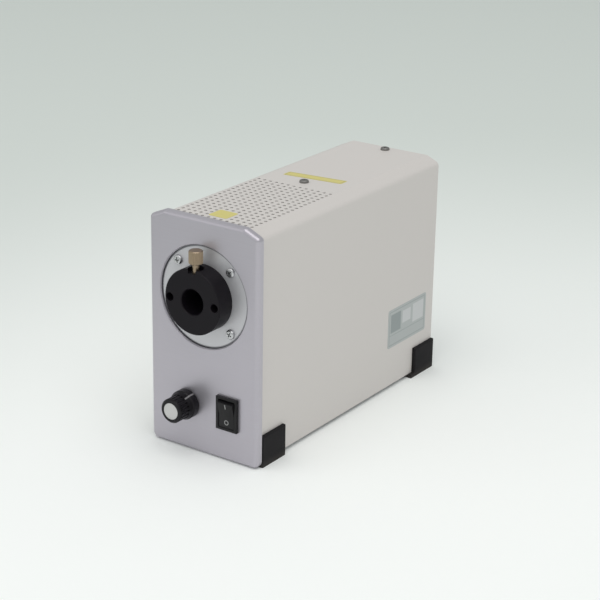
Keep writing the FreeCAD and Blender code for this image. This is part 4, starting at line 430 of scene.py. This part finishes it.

# Control knob: moulded black phenolic with a skirt, a cone and a fluted grip. A white line filled into the
# skirt and cone points to the setting, and it is also a painted highlight, set and toned where light glints
# on the skirt's upper right. A turned aluminium disc is pressed into the face.

disc_back = span("knob_cap")[1].y
KNOB_X, KNOB_Z = centre("knob_cap").x, centre("knob_cap").z
POINTER, LINE_HALF, LINE_START, LINE_BLUR = math.radians(35), 0.45, 7.3, 0.05
phenolic = Finish("knob_phenolic", tint(19, 17, 21), roughness=0.34, sockets={"Specular IOR Level": 0.22})
body_colour = phenolic.grain(phenolic.noise(0.35), tone=0.15, rub=0.12, depth=0.008, patch=7)
over = phenolic.along("X") - KNOB_X
up = phenolic.along("Z") - KNOB_Z
sideways = over * math.cos(POINTER) - up * math.sin(POINTER)
outwards = over * math.sin(POINTER) + up * math.cos(POINTER)
# Pointer line and painted highlight: it sits and is toned where light glints on the skirt.
pointer_and_highlight = sideways.within(LINE_HALF, LINE_BLUR) * outwards.rise(LINE_START, LINE_START + 2 * LINE_BLUR)
phenolic.put({"Base Color": phenolic.mix(pointer_and_highlight, body_colour, tint(132, 130, 132))})
phenolic.cover("control_knob")

DISC, DISC_RISE, DISC_EDGE = 4.88 * MM, 0.8 * MM, 0.18 * MM
RIM, STEP, STEP_DEPTH = 0.35 * MM, 0.25 * MM, -0.12 * MM
LAND, DISH, DISH_DEPTH = 2.2 * MM, 1.2 * MM, -0.06 * MM


def on_rim(low, high):
    """The edges round the disc's face."""
    on_face = min(low.z, high.z) > DISC_RISE * 0.49
    return on_face and min(low.xy.length, high.xy.length) > DISC * 0.99


spun = Finish("spun_aluminium", tint(200, 199, 198), roughness=0.32, metallic=1.0)
turning = spun.radius("X", KNOB_X, "Z", KNOB_Z).wave(pitch=0.24)
spun.grain(turning * 0.6 + spun.noise(0.2) * 0.4, tone=0.04, rub=0.14, depth=0.004, patch=5)
disc = start("knob_disc", bpy.ops.mesh.primitive_cylinder_add, vertices=64, radius=DISC, depth=DISC_RISE,
             location=(0, 0, DISC_RISE / 2))
pick(disc, lambda spot, normal: normal.z > 0.9)
bpy.ops.mesh.inset(thickness=RIM)
bpy.ops.mesh.inset(thickness=STEP, depth=STEP_DEPTH)
bpy.ops.mesh.inset(thickness=LAND)
bpy.ops.mesh.inset(thickness=DISH, depth=DISH_DEPTH)
pick(disc, on_rim, "EDGE")
bpy.ops.mesh.bevel(offset=DISC_EDGE, segments=3, affect="EDGES")
bpy.ops.object.mode_set(mode="OBJECT")
seated = Matrix.Translation(at(KNOB_X, disc_back, KNOB_Z)) @ Matrix.Rotation(math.pi / 2, 4, "X")
disc.matrix_world = seated @ disc.matrix_world
finished(disc, "knob", spun)
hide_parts("knob_cap")

# Rocker switch: a moulded black housing snapped into the panel, with two spade terminals, and a rocker on two
# pins. The rocker's ends carry the usual printed line and ring.

SWITCH_X, SWITCH_Z = centre("switch_housing").x, centre("switch_housing").z
ROCKER_EDGE, HOUSING_EDGE = 0.35, 0.3
BAR_HALF, BAR_LOW, BAR_HIGH = 0.3, 3.6, 6.4
RING_DROP, RING_IN, RING_OUT = 5, 1.0, 1.5
MARK_BLUR, MARK_BACK = 0.04, 0.4
moulded = Finish("switch_plastic", tint(21, 20, 22), roughness=0.36, sockets={"Specular IOR Level": 0.26})
moulded_colour = moulded.grain(moulded.noise(0.4), tone=0.14, rub=0.1, depth=0.008, patch=5)
bar_across = (moulded.along("X") - SWITCH_X).within(BAR_HALF, MARK_BLUR)
bar = bar_across * (moulded.along("Z") - SWITCH_Z).between(BAR_LOW, BAR_HIGH, MARK_BLUR)
ring = moulded.radius("X", SWITCH_X, "Z", SWITCH_Z - RING_DROP).between(RING_IN, RING_OUT, MARK_BLUR)
face_only = 1 - moulded.along("Y").rise(MARK_BACK, MARK_BACK + 0.1)
moulded.put({"Base Color": moulded.mix((bar + ring) * face_only, moulded_colour, tint(150, 150, 150))})
softened("rocker", "rocker_paddle", ROCKER_EDGE, "switch_rocker", moulded)
softened("switch_housing", "switch_body", HOUSING_EDGE, "base", moulded)

# Lamp tray and bulkhead: bent steel sheet, zinc-plated. The tray carries the heat glass and the lamp behind
# the flange plate, and the bulkhead keeps the lamp's heat from the transformer and the board.

sheet = Finish("bracket_steel", tint(182, 183, 182), roughness=0.38, metallic=0.95)
crystals = sheet.cells(4, output="Color")
sheet.grain(crystals * 0.4 + sheet.noise(0.4, stretch=(1, 12, 1)) * 0.6, tone=0.1, rub=0.16, depth=0.004)
sheet.cover("lamp_tray", "bulkhead", "filter_holder", "lamp_bracket", "transformer_brackets")

# Heat glass: a round of heat-absorbing glass, faintly green, in a holder with four spring clips. It keeps the
# lamp's heat off the light guide.

glass = Finish("clear_glass", tint(226, 240, 234), roughness=0.03,
               sockets={"Transmission Weight": 1.0, "IOR": 1.47})
smears = glass.noise(9)
glass.put({"Roughness": 0.02 + smears.rise(0.5, 0.8) * 0.06})
glass.cover("heat_filter", "glass_fuse")
spring = Finish("spring_steel", tint(150, 146, 140), roughness=0.28, metallic=1.0)
spring.grain(spring.noise(0.3, stretch=(6, 1, 1)), tone=0.12, rub=0.16, depth=0.006, patch=5)
spring.cover("filter_clips", "lamp_retainer")

# Lamp: a halogen bulb in a faceted glass bowl with a coating that throws back light and lets heat through.
# Its ceramic base plugs into a ceramic socket on a bracket.

bowl = Finish("coated_reflector", tint(190, 186, 214), roughness=0.12, metallic=0.9)
facets = bowl.cells(3.2)
hue = bowl.mix(bowl.noise(16), tint(150, 170, 226), tint(226, 178, 200))
bowl.put({"Base Color": hue, "Roughness": 0.08 + facets * 0.2})
bowl.bump(facets, 0.2)
bowl.cover("lamp_reflector", "lamp_bulb")
ceramic = Finish("lamp_ceramic", tint(226, 220, 208), roughness=0.7)
ceramic.grain(ceramic.noise(0.25) * 0.5 + ceramic.noise(2) * 0.5, tone=0.06, rub=0.1, depth=0.02, patch=8)
ceramic.cover("lamp_base", "lamp_socket")

# Control board: green glass-fibre laminate with tracks under its varnish, on four brass standoffs. It carries
# the triac on its black heat sink, a sleeved capacitor, a wound choke and a terminal block.

laminate = Finish("board_laminate", tint(28, 84, 52), roughness=0.36)
weave = laminate.along("X").wave(pitch=0.5) * laminate.along("Y").wave(pitch=0.5)
track = 1 - laminate.cells(7, feature="DISTANCE_TO_EDGE").rise(0.05, 0.07)
green = laminate.grain(weave * 0.4 + laminate.noise(2) * 0.6, tone=0.1, rub=0.08, depth=0.01)
laminate.put({"Base Color": laminate.mix(track, green, tint(60, 120, 74))})
laminate.cover("control_board")
standoff = Finish("standoff_brass", tint(200, 168, 104), roughness=0.34, metallic=1.0)
standoff.grain(standoff.noise(0.3, stretch=(1, 1, 6)), tone=0.1, rub=0.14, depth=0.006, patch=3)
standoff.cover("board_standoffs")
sink = Finish("sink_aluminium", tint(40, 40, 43), roughness=0.5, metallic=0.6)
sink.grain(sink.noise(0.3, stretch=(1, 20, 1)), tone=0.16, rub=0.12, depth=0.01, patch=8)
sink.cover("triac_heatsink")
epoxy = Finish("device_epoxy", tint(38, 38, 40), roughness=0.55)
epoxy.grain(epoxy.noise(0.2), tone=0.16, rub=0.1, depth=0.012, patch=3)
epoxy.cover("triac")
sleeve = Finish("capacitor_sleeve", tint(30, 44, 86), roughness=0.3)
sleeve.grain(sleeve.noise(0.5), tone=0.1, rub=0.1, depth=0.008, patch=9)
sleeve.cover("storage_capacitor")
winding = Finish("enamelled_wire", tint(176, 98, 52), roughness=0.3, metallic=0.9)
turns = winding.along("X").wave(pitch=0.9)
winding.grain(turns * 0.8 + winding.noise(0.5) * 0.2, tone=0.25, rub=0.12, depth=0.18, patch=8)
winding.cover("line_choke", "fan_stator")
block = Finish("terminal_plastic", tint(44, 110, 92), roughness=0.42)
block.grain(block.noise(0.4), tone=0.08, rub=0.08, depth=0.008, patch=5)
block.cover("terminal_block")

# Transformer: a stack of varnished iron laminations round a taped winding, held by two steel straps and four
# bolts to the floor.

iron = Finish("core_iron", tint(86, 82, 80), roughness=0.48, metallic=0.8)
plies = iron.along("Y").wave(pitch=0.5)
rust = iron.noise(5).rise(0.55, 0.8)
ply_colour = iron.grain(plies * 0.7 + iron.noise(0.4) * 0.3, tone=0.2, rub=0.16, depth=0.06)
iron.put({"Base Color": iron.mix(rust * 0.4, ply_colour, tint(110, 74, 50))})
iron.cover("transformer_core")
tape = Finish("coil_tape", tint(214, 176, 84), roughness=0.34)
laps = tape.along("Z").wave(pitch=9)
tape.grain(laps * 0.4 + tape.noise(1.2) * 0.6, tone=0.08, rub=0.12, depth=0.06)
tape.cover("transformer_winding")
steel.cover("transformer_bolts", "small_screws", "inlet_screws")

# Fan: a square moulded frame, a wound stator on its bearing, and a seven-bladed rotor, behind a guard of
# chromed wire rings. Four long pan head screws go through the guard's eyelets.

fan_plastic = Finish("fan_plastic", tint(34, 34, 36), roughness=0.48)
ripple = fan_plastic.noise(3, detail=1)
fan_plastic.grain(fan_plastic.noise(0.3) * 0.5 + ripple * 0.5, tone=0.14, rub=0.12, depth=0.012, patch=10)
fan_plastic.cover("fan_frame", "fan_rotor")
chrome = Finish("guard_wire", tint(214, 216, 218), roughness=0.16, metallic=1.0)
chrome.grain(chrome.noise(0.5), tone=0.06, rub=0.12, depth=0.008, patch=10)
chrome.cover("fan_guard")
FAN_Z, FAN_HEAD_RISE = centre("fan_frame").z, 2.2
fan_screws_front, fan_screws_end = span("fan_screws")
fan_seat = fan_screws_end.y - FAN_HEAD_RISE
reach = fan_screws_end.x - HEAD
fan_screw = pan_head("fan_screw", HEAD, FAN_HEAD_RISE, SHANK, fan_seat - fan_screws_front.y)
fan_spots = [(at(x, fan_seat, FAN_Z + z), x + 2 * z) for x in (-reach, reach) for z in (-reach, reach)]
driven(fan_screw, fan_spots, OUT_REAR, "base", steel, "fan_screws")

# Mains inlet: a moulded black socket with a flange and two countersunk screws, three tinned pins, and a
# drawer above the socket that holds a glass fuse.

INLET_EDGE, DRAWER_EDGE = 0.25, 0.2
resin = Finish("inlet_plastic", tint(30, 30, 32), roughness=0.4)
resin.grain(resin.noise(0.35), tone=0.14, rub=0.1, depth=0.01, patch=6)
softened("inlet_housing", "inlet_body", INLET_EDGE, "base", resin)
softened("fuse_drawer", "drawer_body", DRAWER_EDGE, "drawer", resin)

# Cover screws: two pan head screws down through the cover into the bulkhead's and the rear wall's tabs.

COVER_TOP = span("cover")[1].z
TABS = ((96.2, 30), (184.6, 12))
dull_zinc = Finish("dull_zinc", tint(132, 130, 128), roughness=0.5, metallic=0.9)
dull_zinc.grain(dull_zinc.noise(0.4), tone=0.14, rub=0.16, depth=0.01, patch=4)
cover_screw = pan_head("cover_screw", HEAD, HEAD_RISE, SHANK, COVER_TOP - span("cover_screws")[0].z)
tab_spots = [(at(0, y, COVER_TOP), twist) for y, twist in TABS]
driven(cover_screw, tab_spots, OUT_TOP, "base", dull_zinc, "cover_screws")

# Markers and label: blank stickers with round corners. A slanted strip of yellow vinyl lies across the top
# and a plain yellow patch on the vent. A silver polyester label with empty fields is low on the right side.

STICKER, BLUR = 0.1, 0.05


def outline(half_x, half_y, skew=0):
    """The corners of a rectangle round the origin. A skew moves its right end up and its left end down."""
    corners = ((-half_x, -half_y), (half_x, -half_y), (half_x, half_y), (-half_x, half_y))
    return [(x, y + math.copysign(skew, x)) for x, y in corners]


def border(over, up, half_over, half_up, width):
    """A printed line, as wide as said, inside a rectangle's edge."""
    outside = over.within(half_over, BLUR) * up.within(half_up, BLUR)
    inside = over.within(half_over - width, BLUR) * up.within(half_up - width, BLUR)
    return outside * (1 - inside)


def sticker(name, corners, turn, spot, round_off, finish):
    """A thin sticker cut to its corners, with its corners rounded, turned to lie on its face."""
    flat = start(name, bpy.ops.mesh.primitive_plane_add, size=1)
    bpy.ops.object.mode_set(mode="OBJECT")
    order = outline(0.5, 0.5)
    for vertex in flat.data.vertices:
        which = order.index((round(vertex.co.x, 1), round(vertex.co.y, 1)))
        vertex.co = Vector((*corners[which], 0)) * MM
    bpy.ops.object.mode_set(mode="EDIT")
    bpy.ops.mesh.select_all(action="SELECT")
    bpy.ops.mesh.bevel(offset=round_off * MM, segments=6, affect="VERTICES")
    bpy.ops.mesh.select_all(action="SELECT")
    bpy.ops.mesh.extrude_region_move(TRANSFORM_OT_translate={"value": (0, 0, STICKER * MM)})
    bpy.ops.mesh.select_all(action="SELECT")
    bpy.ops.mesh.normals_make_consistent(inside=False)
    bpy.ops.object.mode_set(mode="OBJECT")
    flat.data.transform(Matrix.Translation(spot) @ turn)
    finished(flat, "base", finish)
    return flat


STRIP_X, STRIP_HALF, STRIP_SKEW, STRIP_Y, STRIP_ROUND = 19, 3.5, 2.33, 107.5, 0.8
PATCH_HALF_X, PATCH_HALF_Y, PATCH_X, PATCH_Y, PATCH_ROUND = 6.25, 5.75, -0.5, 19, 1.2
END_MARGIN, LONG_MARGIN, LINE_WIDTH, LINE_TONE = 0.75, 0.45, 0.4, 0.7
LYING = Matrix.Identity(4)
vinyl = Finish("yellow_vinyl", tint(208, 197, 116), roughness=0.42)
vinyl_colour = vinyl.grain(vinyl.noise(0.6), tone=0.04, rub=0.1, depth=0.01, patch=6)
strip_run = vinyl.along("X")
strip_rise = vinyl.along("Y") - STRIP_Y - strip_run * (STRIP_SKEW / STRIP_X)
strip_line = border(strip_run, strip_rise, STRIP_X - END_MARGIN, STRIP_HALF - LONG_MARGIN, LINE_WIDTH)
vinyl.put({"Base Color": vinyl.mix(strip_line * LINE_TONE, vinyl_colour, tint(120, 112, 62))})
strip = sticker("strip_marker", outline(STRIP_X, STRIP_HALF, STRIP_SKEW), LYING, at(0, STRIP_Y, COVER_TOP),
                STRIP_ROUND, vinyl)
patch = sticker("patch_marker", outline(PATCH_HALF_X, PATCH_HALF_Y), LYING, at(PATCH_X, PATCH_Y, COVER_TOP),
                PATCH_ROUND, vinyl)
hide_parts("blank_markers")
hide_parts("blank_markers")

LABEL_MARGIN, LABEL_ROUND, FIELD_BLUR = 1.4, 1.5, 0.3
RULE_HALF, RULE_Z, RULE_BLUR = 20, (-4.8, -4.5), 0.06
HEADER_Y, SHORT_Y, TALL_Y = (-19, -7.5), (-5.5, 4), (6.5, 19)
SHORT_Z, TALL_Z = (0, 8), (-3, 9)
HEADER_TONE, RULE_TONE, PALE_TONE = 0.55, 0.6, 0.7
place = centre("side_label")
label_half = span("side_label")[1] - place
polyester = Finish("silver_polyester", tint(176, 180, 180), roughness=0.4, metallic=0.25)
foil = polyester.noise(0.5, stretch=(1, 12, 1)) * 0.5 + polyester.noise(5) * 0.5
foil_colour = polyester.grain(foil, tone=0.06, rub=0.12, depth=0.008, patch=10)
along_label = polyester.along("Y") - place.y
up_label = polyester.along("Z") - place.z


def field(run, rise):
    """A printed field from two pairs of ends, measured from the label's middle."""
    return along_label.between(*run, FIELD_BLUR) * up_label.between(*rise, FIELD_BLUR)


rule = up_label.between(*RULE_Z, RULE_BLUR) * along_label.within(RULE_HALF, BLUR)
edging = border(along_label, up_label, label_half.y - LABEL_MARGIN, label_half.z - LABEL_MARGIN, LINE_WIDTH)
pale = field(SHORT_Y, SHORT_Z) + field(TALL_Y, TALL_Z)
dark = field(HEADER_Y, TALL_Z) * HEADER_TONE + (rule + edging) * RULE_TONE
printed = polyester.mix(dark, foil_colour, tint(112, 124, 126))
polyester.put({"Base Color": polyester.mix(pale * PALE_TONE, printed, tint(206, 206, 208))})
on_side = Matrix.Rotation(math.pi / 2, 4, "Z") @ Matrix.Rotation(math.pi / 2, 4, "X")
label = sticker("rating_plate", outline(label_half.y, label_half.z), on_side,
                at(span("cover")[1].x, place.y, place.z), LABEL_ROUND, polyester)
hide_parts("side_label")

# The studio: a pale floor, painted darker far off and to the left as painted shade, and glowing faintly as
# painted light that lifts its shadows; a big soft light overhead, a weak one from the front left, and even
# light all round. The camera stands to the right of the object's front and looks down on it.

FLOOR = 24
FAR_OFF_SHADE, ASIDE_SHADE = (-80, 760), (60, 480)
# Painted light: the floor glows faintly, which lifts the shadows on it.
ground = Finish("studio_floor", tint(247, 249, 248), roughness=0.85,
                sockets={"Specular IOR Level": 0.2, "Emission Color": tint(250, 252, 251),
                         "Emission Strength": 0.035})
# Painted shade: the floor darkens far off and to the left, where the light falls off.
far_off_shade = (ground.along("Y") * 0.82 - ground.along("X") * 0.56).rise(*FAR_OFF_SHADE)
aside_shade = (ground.along("X") * -0.9 - ground.along("Y") * 0.3).rise(*ASIDE_SHADE)
near_floor = ground.mix(ground.noise(300), tint(248, 250, 249), tint(250, 252, 251))
swept = ground.mix(aside_shade, near_floor, tint(206, 211, 208))
ground.put({"Base Color": ground.mix(far_off_shade, swept, tint(214, 220, 216))})
floor = start("studio_floor", bpy.ops.mesh.primitive_plane_add, size=FLOOR)
bpy.ops.mesh.subdivide(number_cuts=3)
bpy.ops.object.mode_set(mode="OBJECT")
floor.data.materials.append(ground.material)

room = bpy.data.worlds.new("studio")
bpy.context.scene.world = room
room.use_nodes = True
air = room.node_tree.nodes["Background"]
air.inputs["Color"].default_value = (0.93, 0.965, 0.95, 1)
air.inputs["Strength"].default_value = 0.61
bpy.context.scene.view_settings.view_transform = "Standard"

LIT = Vector((0, 0, 0.07))


def softbox(name, spot, size, power, colour):
    """A square light that faces the object's middle."""
    data = bpy.data.lights.new(name, "AREA")
    data.size = size
    data.energy = power
    data.color = colour
    lamp = bpy.data.objects.new(name, data)
    lamp.location = spot
    lamp.rotation_mode = "QUATERNION"
    lamp.rotation_quaternion = (LIT - spot).to_track_quat("-Z", "Y")
    bpy.context.scene.collection.objects.link(lamp)


softbox("key_light", Vector((0.5, -0.6, 2.1)), size=2.2, power=23, colour=(1.0, 0.98, 0.97))
softbox("front_light", Vector((-1.3, -1.5, 0.9)), size=1.4, power=3, colour=(1.0, 0.98, 0.98))

EYE = at(551.03, -709.48, 433)
LOOK = at(-4.047, 100, 62.478)
ROLL = math.radians(1.0205)
LENS, SENSOR = 104.76, 36
NEAREST, FARTHEST = 0.05, 40
away = (EYE - LOOK).normalized()
level = Vector((0, 0, 1)).cross(away).normalized()
upright = away.cross(level)
right = level * math.cos(ROLL) + upright * math.sin(ROLL)
over_head = upright * math.cos(ROLL) - level * math.sin(ROLL)
camera_data = bpy.data.cameras.new("camera")
camera_data.lens = LENS
camera_data.sensor_width = SENSOR
camera_data.clip_start = NEAREST
camera_data.clip_end = FARTHEST
camera = bpy.data.objects.new("camera", camera_data)
camera.matrix_world = Matrix.Translation(EYE) @ Matrix((right, over_head, away)).transposed().to_4x4()
bpy.context.scene.collection.objects.link(camera)
bpy.context.scene.camera = camera
